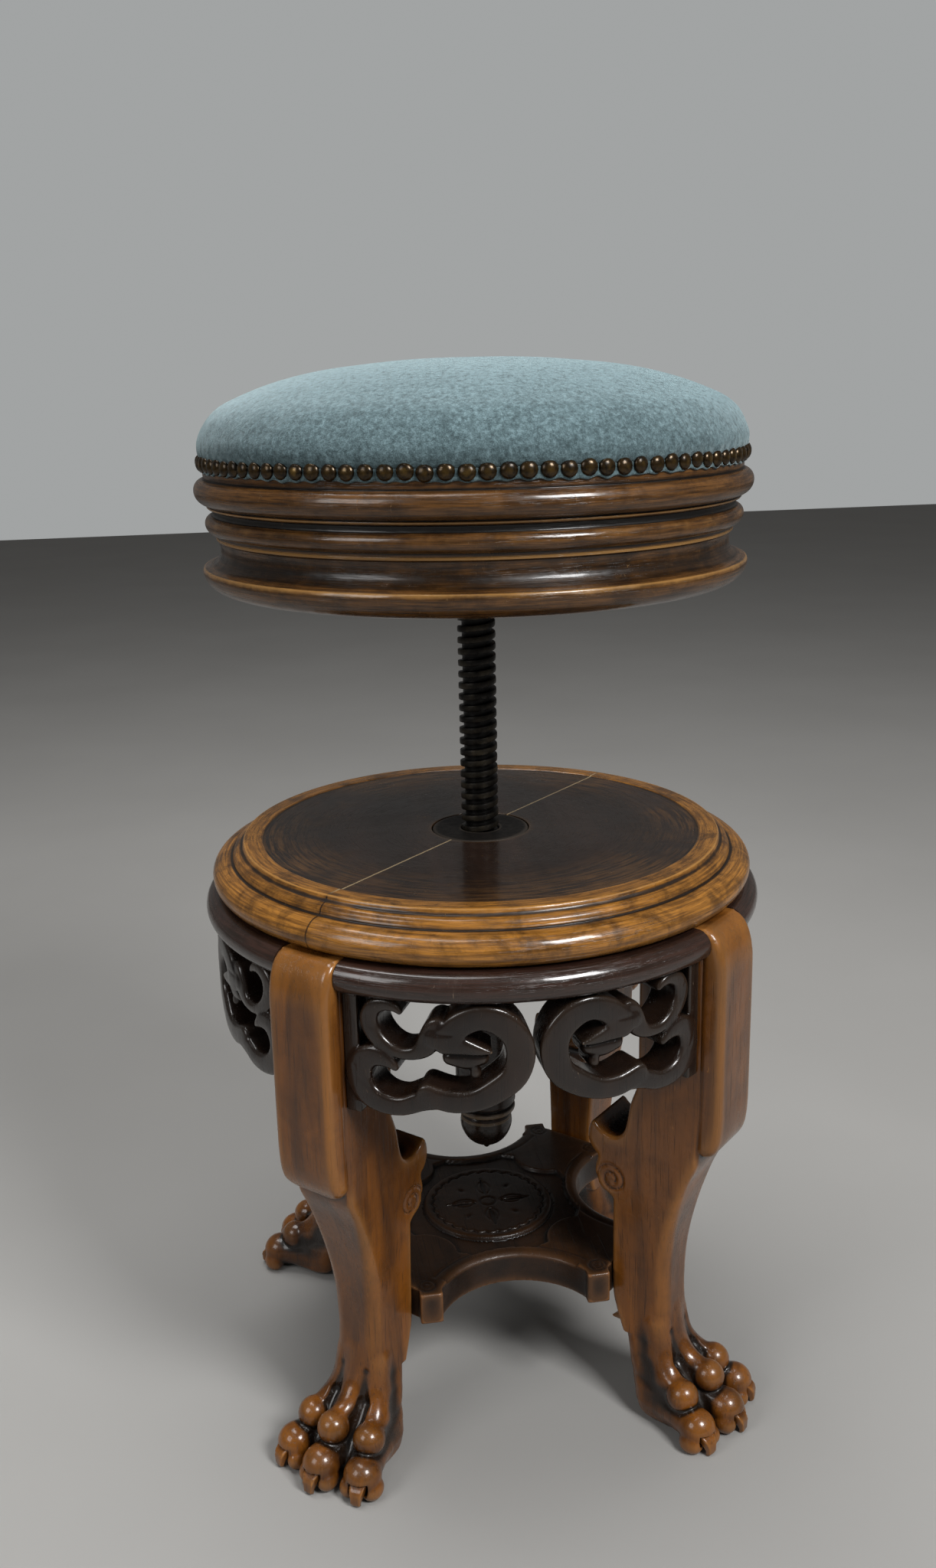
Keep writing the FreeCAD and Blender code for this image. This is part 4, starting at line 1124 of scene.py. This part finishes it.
# Side outline of the shaft and paw, (radius, height): down the back, under the paw and up the front
SHAFT_BACK = (
    (134.0, 361.0), (134.0, 300.0), (134.0, 252.0), (132.5, 242.0), (128.5, 231.0), (126.2, 219.0), (123.6, 209.0),
    (118.0, 203.6), (111.0, 203.2), (105.0, 206.4), (101.0, 210.2), (98.4, 207.6), (96.8, 201.0), (97.4, 194.4),
    (100.6, 189.0), (103.6, 186.2), (103.2, 182.6), (101.8, 176.0), (102.4, 168.4), (106.2, 162.0), (112.0, 158.6),
    (115.0, 156.0),
)
SHAFT_LOW_BACK = (
    (114.6, 140.0), (113.8, 110.0), (114.0, 84.0), (116.6, 72.0), (120.4, 61.0), (124.6, 50.0), (127.6, 38.0),
    (130.6, 24.0), (136.4, 9.0), (141.0, 3.0), (147.0, 0.0),
)
SHAFT_FRONT = (
    (178.0, 0.0), (182.0, 5.0), (181.0, 14.0), (175.0, 25.0), (166.0, 38.0), (159.4, 50.0), (156.0, 64.0),
    (154.4, 82.0), (154.2, 104.0), (155.4, 124.0), (158.0, 142.0), (162.6, 162.0), (168.8, 182.0), (175.6, 198.0),
    (178.0, 214.0),
)
# The outer slab, which stands proud of the shaft
SLAB_OUTLINE = (
    (176.4, 203.2), (180.6, 204.2), (184.2, 207.0), (188.2, 212.6), (190.6, 220.0), (191.8, 232.0), (192.0, 252.0),
    (192.0, 322.0), (191.2, 340.0), (187.6, 352.8), (182.0, 359.4), (176.4, 361.0),
)
# Half the shaft's width and how round its corners are, each by height
HALF_WIDTHS = (
    (0.0, 25.0), (6.0, 28.6), (14.0, 29.6), (24.0, 28.0), (34.0, 24.6), (44.0, 20.8), (56.0, 18.2), (72.0, 17.5),
    (92.0, 17.4), (116.0, 18.0), (140.0, 19.2), (168.0, 20.6), (200.0, 21.7), (240.0, 21.8), (361.0, 21.8),
)
CORNERS = (
    (0.0, 5.0), (20.0, 9.0), (50.0, 8.5), (90.0, 9.5), (120.0, 9.0), (150.0, 6.5), (180.0, 3.6), (205.0, 2.2),
    (240.0, 1.8), (361.0, 1.8),
)


def volute_path():
    """Middle line of the incised volute on the bracket: a ring that winds in towards its eye."""
    a = np.radians(np.linspace(200.0, -420.0, 90))
    share = np.linspace(0.0, 1.0, 90)
    radius = 12.2 - 9.8 * share**0.8
    return np.stack([115.0 - 0.6 * share + radius * np.cos(a), 171.0 + radius * np.sin(a), 0.0 * a], 1)


def leg_distance(r, t, z):
    """Distance to a leg at azimuth 0: a sawn shaft with a raised outer slab, and a carved paw under it.

    r runs out from the stool's axis, t sideways from the leg's middle, z up."""
    flat_r, flat_z = r[:, 0, :], z[:, 0, :]
    outline = np.vstack([
        through(SHAFT_BACK[:3], 2), through(SHAFT_BACK[3:], 4), through(SHAFT_LOW_BACK, 4), through(SHAFT_FRONT, 4),
        [(178.0, 361.0)],
    ])
    side = outline_distance(flat_r, flat_z, outline)
    level = z[0, 0]
    width = np.interp(level, *np.array(HALF_WIDTHS).T)[None, :] * np.ones_like(flat_r)
    soft = np.interp(level, *np.array(CORNERS).T)[None, :] * np.ones_like(flat_r)
    heel = np.clip((162.0 - flat_r) / 30.0, 0.0, 1.0) * np.clip((50.0 - flat_z) / 20.0, 0.0, 1.0)
    width = width * (1.0 - 0.18 * heel * heel)
    back = np.clip((150.0 - flat_r) / 20.0, 0.0, 1.0) * (flat_z > 56.0)
    soft = soft * (1.0 - back) + np.minimum(soft, 2.4) * back
    line = strap_distance(flat_r, flat_z, volute_path())
    width = width - 1.3 * np.exp(-((line / 0.75) ** 2))
    seam = strap_distance(flat_r, flat_z, np.array([(175.8, 200.0, 0.0), (176.2, 214.0, 0.0), (176.4, 232.0, 0.0)]))
    width = width - 1.2 * np.exp(-((seam / 0.8) ** 2)) * np.clip((236.0 - flat_z) / 24.0, 0.0, 1.0)
    field = slab(side[:, None, :], np.abs(t) - width[:, None, :], soft[:, None, :])
    face = outline_distance(flat_r, flat_z, through(SLAB_OUTLINE, 4))
    reach = LEG_HALF_WIDTH + 0.1 - 12.0 * np.clip((214.0 - level) / 12.0, 0.0, 1.0) ** 2
    slab_form = slab(face[:, None, :], np.abs(t) - reach[None, None, :], 4.2)
    field = merged(field, slab_form, 0.8)
    low = level < 112.0
    grid = (r[:, :, low], np.abs(t[:, :, low]), z[:, :, low])
    field[:, :, low] = paw_distance(grid, field[:, :, low])
    return np.maximum(field, -z)


# Toes of the right half of a paw, (radius, sideways, height): tendon down to the knuckle, the toe and its claw's tip
TOES = (
    dict(
        tendon=((149.0, 0.0, 74.0), (153.0, 0.0, 52.0), (164.0, 0.0, 39.0)), knuckle=(178.6, 0.0, 33.0),
        root=(170.0, 0.0, 17.0), pad=(192.0, 0.0, 14.6), tip=(205.4, 0.0, 0.8),
    ),
    dict(
        tendon=((146.0, 12.6, 68.0), (150.0, 14.6, 47.0), (158.6, 19.0, 34.6)), knuckle=(171.2, 23.2, 28.6),
        root=(162.0, 19.0, 15.0), pad=(184.6, 28.0, 13.6), tip=(197.4, 32.2, 0.8),
    ),
)
# Grooves beside the toes: from, to and the radius at each
GROOVES = (
    ((156.4, 9.4, 82.0), (157.6, 10.2, 64.0), 0.2, 2.2), ((157.6, 10.2, 64.0), (163.0, 12.0, 45.0), 2.2, 4.2),
    ((163.0, 12.0, 45.0), (175.0, 13.2, 30.0), 4.2, 4.0), ((175.0, 13.2, 30.0), (186.0, 14.2, 17.0), 4.0, 3.4),
    ((186.0, 14.2, 17.0), (199.0, 16.4, 4.0), 3.4, 3.6), ((151.0, 25.0, 52.0), (158.0, 32.0, 36.0), 0.8, 3.0),
    ((158.0, 32.0, 36.0), (172.0, 38.6, 22.0), 3.0, 2.6),
)


def claw_distance(grid, pad, tip):
    """Distance to a square claw: a wedge round the line from inside the toe to its tip."""
    axis = np.array(tip) - np.array(pad)
    length = np.linalg.norm(axis)
    axis /= length
    side = np.cross(axis, (0.0, 0.0, 1.0))
    side /= np.linalg.norm(side)
    over = np.cross(side, axis)
    local = [grid[i] - pad[i] for i in range(3)]
    along, across, up = (sum(local[i] * way[i] for i in range(3)) for way in (axis, side, over))
    share = np.clip(along / length, 0.0, 1.0)
    up = up - 3.2 * np.sin(share * math.pi) + 0.6
    walls = np.maximum(np.abs(across) - (5.6 - 2.9 * share), np.abs(up) - (4.0 - 2.2 * share))
    return slab(walls, np.maximum(-along, along - length), 0.7)


def paw_distance(grid, shaft):
    """The shaft's foot with toes added: knuckle and pad of each toe on their fingers, then grooves, hoods and claws."""
    field = shaft
    for toe in TOES:
        high, bend, neck = toe["tendon"]
        tendon = merged(finger(grid, high, bend, 5.6, 6.2), finger(grid, bend, neck, 6.2, 7.4), 2.0)
        field = merged(field, merged(tendon, finger(grid, neck, toe["knuckle"], 7.4, 8.2), 2.0), 6.0)
    for toe in TOES:
        field = merged(field, finger(grid, toe["root"], toe["pad"], 11.4, 11.0), 3.0)
    for start, end, ra, rb in GROOVES:
        field = carved(field, finger(grid, start, end, ra, rb), 2.0)
    for toe in TOES:
        field = merged(field, ball(grid, toe["knuckle"], (10.8, 10.4, 10.6)), 1.2)
    for toe in TOES:
        root, pad, tip = (np.array(toe[k]) for k in ("root", "pad", "tip"))
        ahead = (pad - root) * (1.0, 1.0, 0.0)
        ahead /= np.linalg.norm(ahead)
        side = np.array([-ahead[1], ahead[0], 0.0])
        form = ball(grid, pad, (12.2, 12.2, 11.8))
        for hand in (-1.0, 1.0):
            cheek = pad + ahead * 2.6 + side * hand * 7.4 - (0.0, 0.0, 7.0)
            form = merged(form, ball(grid, cheek, (8.2, 6.4, 7.4)), 0.8)
        claw = claw_distance(grid, pad + ahead * 5.6 - (0.0, 0.0, 1.0), tip)
        slot = claw_distance(grid, pad + ahead * 6.4 - (0.0, 0.0, 2.0), tip + ahead * 4.0 - (0.0, 0.0, 1.0))
        form = carved(form, slot - 1.0, 0.7)
        field = merged(field, form, 1.6)
        field = carved(field, slot - 1.0, 0.7)
        field = np.minimum(field, claw)
    r, t, z = grid
    spur = finger(grid, (121.0, 0.0, 58.0), (105.5, 0.0, 50.6), 7.0, 1.0)
    return merged(field, np.maximum(spur, t - 7.5), 3.0)


class STOOL_OT_legs(bpy.types.Operator):
    """Carved cabriole legs on three-toed paws"""
    bl_idname = "stool.legs"
    bl_label = "Paw legs"

    def execute(self, context):
        cell = context.scene.stool_sizes.carving_cell / MM
        half = axis_points((0.0, 46.0, cell))
        axes = (
            axis_points((94.0, 207.0, cell)), np.concatenate([-half[:0:-1], half]),
            axis_points((-1.4, 92.0, cell), (92.0, 240.0, cell * 1.6), (240.0, 362.4, cell * 2.8)),
        )
        middle = len(half) - 1
        grid = np.meshgrid(axes[0], half, axes[2], indexing="ij")
        one = leg_distance(*[g.astype(np.float32) for g in grid])
        field = np.concatenate([one[:, :0:-1], one], axis=1)
        points, quads = carved_surface(field, axes)
        relief, hollow = relief_of(points, quads, 14, 220)
        # The paws come out darker towards the bottom: the hollow value, which paints shade in broad hollows, is lowered
        # near the floor.
        hollow = hollow - 1.2 * np.clip((72.0 - points[:, 2]) / 34.0, 0.0, 1.0)
        pattern = mesh_object("leg_pattern", points, quads, relief, 0.0, hollow)
        for name, azimuth in LEGS:
            leg = turned_copy(pattern, "paw_leg_" + name, azimuth)
            dress(leg, "leg_wood", "base", "worn_wood", name + "_leg")
        bpy.data.objects.remove(pattern)
        return {"FINISHED"}


# Shelf

# Plan from the shelf's middle: the circle that hollows a side, the arms to the legs and the ears at their ends
HOLLOW_MIDDLE, HOLLOW_RADIUS = 124.2, 56.2
SQUARE_HALF = 76.0
ARM_REACH, ARM_SHOULDER, ARM_HALF_WIDTH = 113.0, 106.0, 36.5
EAR_REACH, EAR_SIDE, EAR_RADIUS = 109.0, 27.6, 5.4
VOLUTE_SIDE, VOLUTE_REACH = 58.4, 92.0


def ridge(gap, width):
    """A round-bottomed line of depth one, where the gap to its middle is small beside its width."""
    return np.exp(-((gap / width) ** 2))


def shelf_distance(x, y, z):
    """Distance to the shelf: hollow sides, arms to the legs that end in square blocks, and a top carved low."""
    flat_x, flat_y = x[:, :, 0], y[:, :, 0]
    u, v = (flat_x + flat_y) / math.sqrt(2.0), (flat_y - flat_x) / math.sqrt(2.0)
    u, v = np.abs(u), np.abs(v)
    along, across = np.maximum(u, v), np.minimum(u, v)
    ax, ay = np.abs(flat_x), np.abs(flat_y)
    side_far, side_near = np.maximum(ax, ay), np.minimum(ax, ay)
    hollow = np.hypot(side_far - HOLLOW_MIDDLE, side_near) - HOLLOW_RADIUS
    reach = np.where(across > EAR_SIDE, ARM_SHOULDER, ARM_REACH)
    arm = np.maximum(along - reach, across - ARM_HALF_WIDTH)
    body = carved(np.minimum(arm, side_far - SQUARE_HALF), hollow, 0.6)
    ends = slab(np.abs(side_near - 56.6) - 7.6, np.abs(side_far - 94.4) - 8.8, 1.6)
    ear = np.hypot(along - EAR_REACH, across - EAR_SIDE) - EAR_RADIUS
    flat = merged(merged(body, ends, 0.8), ear, 0.8)
    radius, angle = np.hypot(flat_x, flat_y), np.arctan2(flat_y, flat_x)
    lobes = np.hypot(along - 80.0, across) - 25.0
    ground = np.maximum.reduce([46.8 - radius, -lobes, 9.0 - hollow, radius - 66.0])
    depth = 3.0 * np.clip(0.5 - ground / 1.4, 0.0, 1.0)
    depth += 1.2 * np.clip((radius - 43.6) / 3.0, 0.0, 1.0) ** 2 * (radius < 47.5)
    depth += 1.5 * ridge(38.8 + 1.9 * np.abs(np.sin(angle * 14.0)) - radius, 0.8)
    depth += 0.9 * ridge(radius - 5.4, 0.8)
    petal = np.abs(np.arctan2(side_near, side_far)) * radius
    leaf = np.exp(-((petal / (0.5 + 1.5 * ridge(radius - 19.0, 7.0))) ** 4))
    depth += 1.5 * leaf * (radius > 8.0) * (radius < 31.0)
    vein = np.abs(petal - 4.6 * np.sin(np.clip((radius - 8.0) / 20.0, 0.0, 1.0) * math.pi))
    depth += 0.9 * ridge(vein, 0.6) * (radius > 9.0) * (radius < 26.0)
    depth += 0.9 * ridge(np.hypot(along - 24.0, across * 1.6), 2.4)
    depth += 0.9 * ridge(hollow - 9.4, 0.8) * (radius > 50.0) * (radius < 100.0)
    eye = np.hypot(side_near - VOLUTE_SIDE, side_far - VOLUTE_REACH)
    for ring in (2.6, 5.6):
        depth += ridge(eye - ring, 0.7)
    depth += 2.2 * np.clip(1.0 - hollow / 5.0, 0.0, 1.0) ** 2 * (radius < 100.0)
    top = SHELF_TOP - depth
    out = np.maximum(z - top[..., None], SHELF_FOOT - z)
    return slab(flat[..., None], out, 0.9)


class STOOL_OT_shelf(bpy.types.Operator):
    """Shelf between the legs, with hollow sides, scrolled corners and a carved medallion"""
    bl_idname = "stool.shelf"
    bl_label = "Carved shelf"

    def execute(self, context):
        fine = np.arange(0.0, 48.0, 0.8)
        coarse = np.arange(48.0, 108.0, 1.2)
        half = np.concatenate([fine, coarse])
        line = np.concatenate([-half[:0:-1], half])
        axes = (line, line, axis_points((82.0, 100.0, 1.6), (100.0, 106.4, 0.8)))
        one = np.meshgrid(half, half, axes[2], indexing="ij")
        quarter = shelf_distance(*one)
        upper = np.concatenate([quarter[:0:-1], quarter], axis=0)
        field = np.concatenate([upper[:, :0:-1], upper], axis=1)
        points, quads = carved_surface(field, axes)
        relief, hollow = relief_of(points, quads, 8)
        shelf = mesh_object("carved_shelf", points, quads, relief, 0.0, hollow)
        dress(shelf, "shelf_wood", "base", "worn_wood", "stretcher_shelf")
        return {"FINISHED"}


class STOOL_OT_hidden_parts(bpy.types.Operator):
    """Finishes on the screws, flange, bolt and washer, which keep their own shapes"""
    bl_idname = "stool.hidden_parts"
    bl_label = "Screws and flange"

    def execute(self, context):
        for node, material in (
            ("seat_flange", "black_iron"), ("flange_screws", "dark_steel"), ("housing_screws", "dark_steel"),
            ("stop_bolt", "dark_steel"), ("stop_washer", "dark_steel"),
        ):
            piece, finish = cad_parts[node], bpy.data.materials[material]
            if not piece.material_slots:
                piece.data.materials.append(finish)
            for slot in piece.material_slots:
                slot.material = finish
        return {"FINISHED"}


# Stage

# The photograph's camera: place in metres, heading, pitch and roll in degrees, lens and film height in millimetres
CAMERA_PLACE = (-0.1607, -0.9181, 0.6857)
CAMERA_TURN = (9.46, 15.84, -1.29)
CAMERA_LENS, FILM_HEIGHT = 33.2, 36.0

# Lamps: place, aim, size and power
LAMPS = (
    ("key_lamp", (0.9, -1.5, 1.9), (0.0, 0.0, 0.35), 0.7, 62.0),
    ("top_lamp", (-0.2, 0.3, 2.4), (0.0, 0.0, 0.5), 1.3, 44.0),
    ("side_lamp", (-1.7, -1.0, 1.5), (0.0, 0.0, 0.4), 1.0, 17.0),
)
ROOM_LIGHT, BACKDROP = (1.0, 0.985, 0.96, 1.0), (0.36, 0.37, 0.37, 1.0)
FLOOR_DARK, FLOOR_PALE = (0.25, 0.245, 0.235, 1.0), (0.29, 0.285, 0.275, 1.0)
FLOOR_REACH = 6.0


def stand(name, data, place, right, up, away):
    """An object for a camera or a lamp at its place, turned to look against the last direction."""
    thing = bpy.data.objects.new(name, data)
    bpy.context.scene.collection.objects.link(thing)
    turn = Matrix([[right[i], up[i], away[i]] for i in range(3)]).to_4x4()
    thing.matrix_world = Matrix.Translation(place) @ turn
    return thing


class STOOL_OT_stage(bpy.types.Operator):
    """Camera, floor and plain soft studio light"""
    bl_idname = "stool.stage"
    bl_label = "Stage"

    def execute(self, context):
        scene = context.scene
        lens = bpy.data.cameras.new("photo_camera")
        lens.sensor_fit = "VERTICAL"
        lens.sensor_height = FILM_HEIGHT
        lens.lens = CAMERA_LENS
        lens.clip_start = 0.01
        heading, pitch, roll = np.radians(CAMERA_TURN)
        ahead = np.array([math.sin(heading) * math.cos(pitch), math.cos(heading) * math.cos(pitch), -math.sin(pitch)])
        level = np.array([math.cos(heading), -math.sin(heading), 0.0])
        right = level * math.cos(roll) + np.cross(level, ahead) * math.sin(roll)
        scene.camera = stand("photo_camera", lens, CAMERA_PLACE, right, np.cross(right, ahead), -ahead)
        world = bpy.data.worlds.new("soft_room")
        scene.world = world
        world.use_nodes = True
        tree = world.node_tree
        tree.nodes.clear()
        sight = put(tree, "ShaderNodeLightPath").outputs["Is Camera Ray"]
        dim = put(tree, "ShaderNodeBackground", {"Color": ROOM_LIGHT, "Strength": 0.12})
        bright = put(tree, "ShaderNodeBackground", {"Color": BACKDROP, "Strength": 1.0})
        mix = put(tree, "ShaderNodeMixShader", {0: sight, 1: dim.outputs[0], 2: bright.outputs[0]})
        tree.links.new(mix.outputs[0], put(tree, "ShaderNodeOutputWorld").inputs["Surface"])
        for name, place, aim, size, power in LAMPS:
            lamp = bpy.data.lights.new(name, "AREA")
            lamp.size = size
            lamp.energy = power
            away = np.array(place) - np.array(aim)
            away /= np.linalg.norm(away)
            side = np.cross((0.0, 0.0, 1.0), away)
            side /= np.linalg.norm(side)
            stand(name, lamp, place, side, np.cross(away, side), away)
        corners = [(x * FLOOR_REACH, y * FLOOR_REACH, 0.0) for x, y in ((-1, -1), (1, -1), (1, 1), (-1, 1))]
        mesh = bpy.data.meshes.new("studio_floor")
        mesh.from_pydata(corners, [], [(0, 1, 2, 3)])
        floor = bpy.data.objects.new("studio_floor", mesh)
        scene.collection.objects.link(floor)
        material, tree, surface, place = new_material("pale_floor")
        tone = blend_colours(tree, noise(tree, place, 3.0, 4.0), FLOOR_DARK, FLOOR_PALE)
        feed(tree, surface.inputs, {"Base Color": tone, "Roughness": 0.65})
        mesh.materials.append(material)
        scene.view_settings.view_transform = "Standard"
        return {"FINISHED"}


class STOOL_OT_materials(bpy.types.Operator):
    """Node groups and finishes of every piece"""
    bl_idname = "stool.materials"
    bl_label = "Finishes"

    def execute(self, context):
        make_materials()
        return {"FINISHED"}


OPERATORS = (
    STOOL_OT_stage, STOOL_OT_materials, STOOL_OT_cushion, STOOL_OT_nails, STOOL_OT_seat_wood, STOOL_OT_screw,
    STOOL_OT_top, STOOL_OT_rails, STOOL_OT_housing, STOOL_OT_aprons, STOOL_OT_legs, STOOL_OT_shelf,
    STOOL_OT_hidden_parts,
)


class STOOL_PT_panel(bpy.types.Panel):
    """Sizes, finishes and pieces of the stool"""
    bl_idname = "STOOL_PT_panel"
    bl_label = "Revolving stool"
    bl_space_type = "VIEW_3D"
    bl_region_type = "UI"
    bl_category = "Stool"

    def draw(self, context):
        for settings in (context.scene.stool_sizes, context.scene.stool_finishes):
            for name in settings.__annotations__:
                self.layout.prop(settings, name)
        for operator in OPERATORS:
            self.layout.operator(operator.bl_idname)


CLASSES = (StoolSizes, StoolFinishes) + OPERATORS + (STOOL_PT_panel,)


def register():
    for cls in CLASSES:
        bpy.utils.register_class(cls)
    bpy.types.Scene.stool_sizes = bpy.props.PointerProperty(type=StoolSizes)
    bpy.types.Scene.stool_finishes = bpy.props.PointerProperty(type=StoolFinishes)


def unregister():
    del bpy.types.Scene.stool_finishes
    del bpy.types.Scene.stool_sizes
    for cls in reversed(CLASSES):
        bpy.utils.unregister_class(cls)


def main():
    register()
    for operator in OPERATORS:
        getattr(bpy.ops.stool, operator.bl_idname.split(".")[1])()


if __name__ == "__main__":
    main()
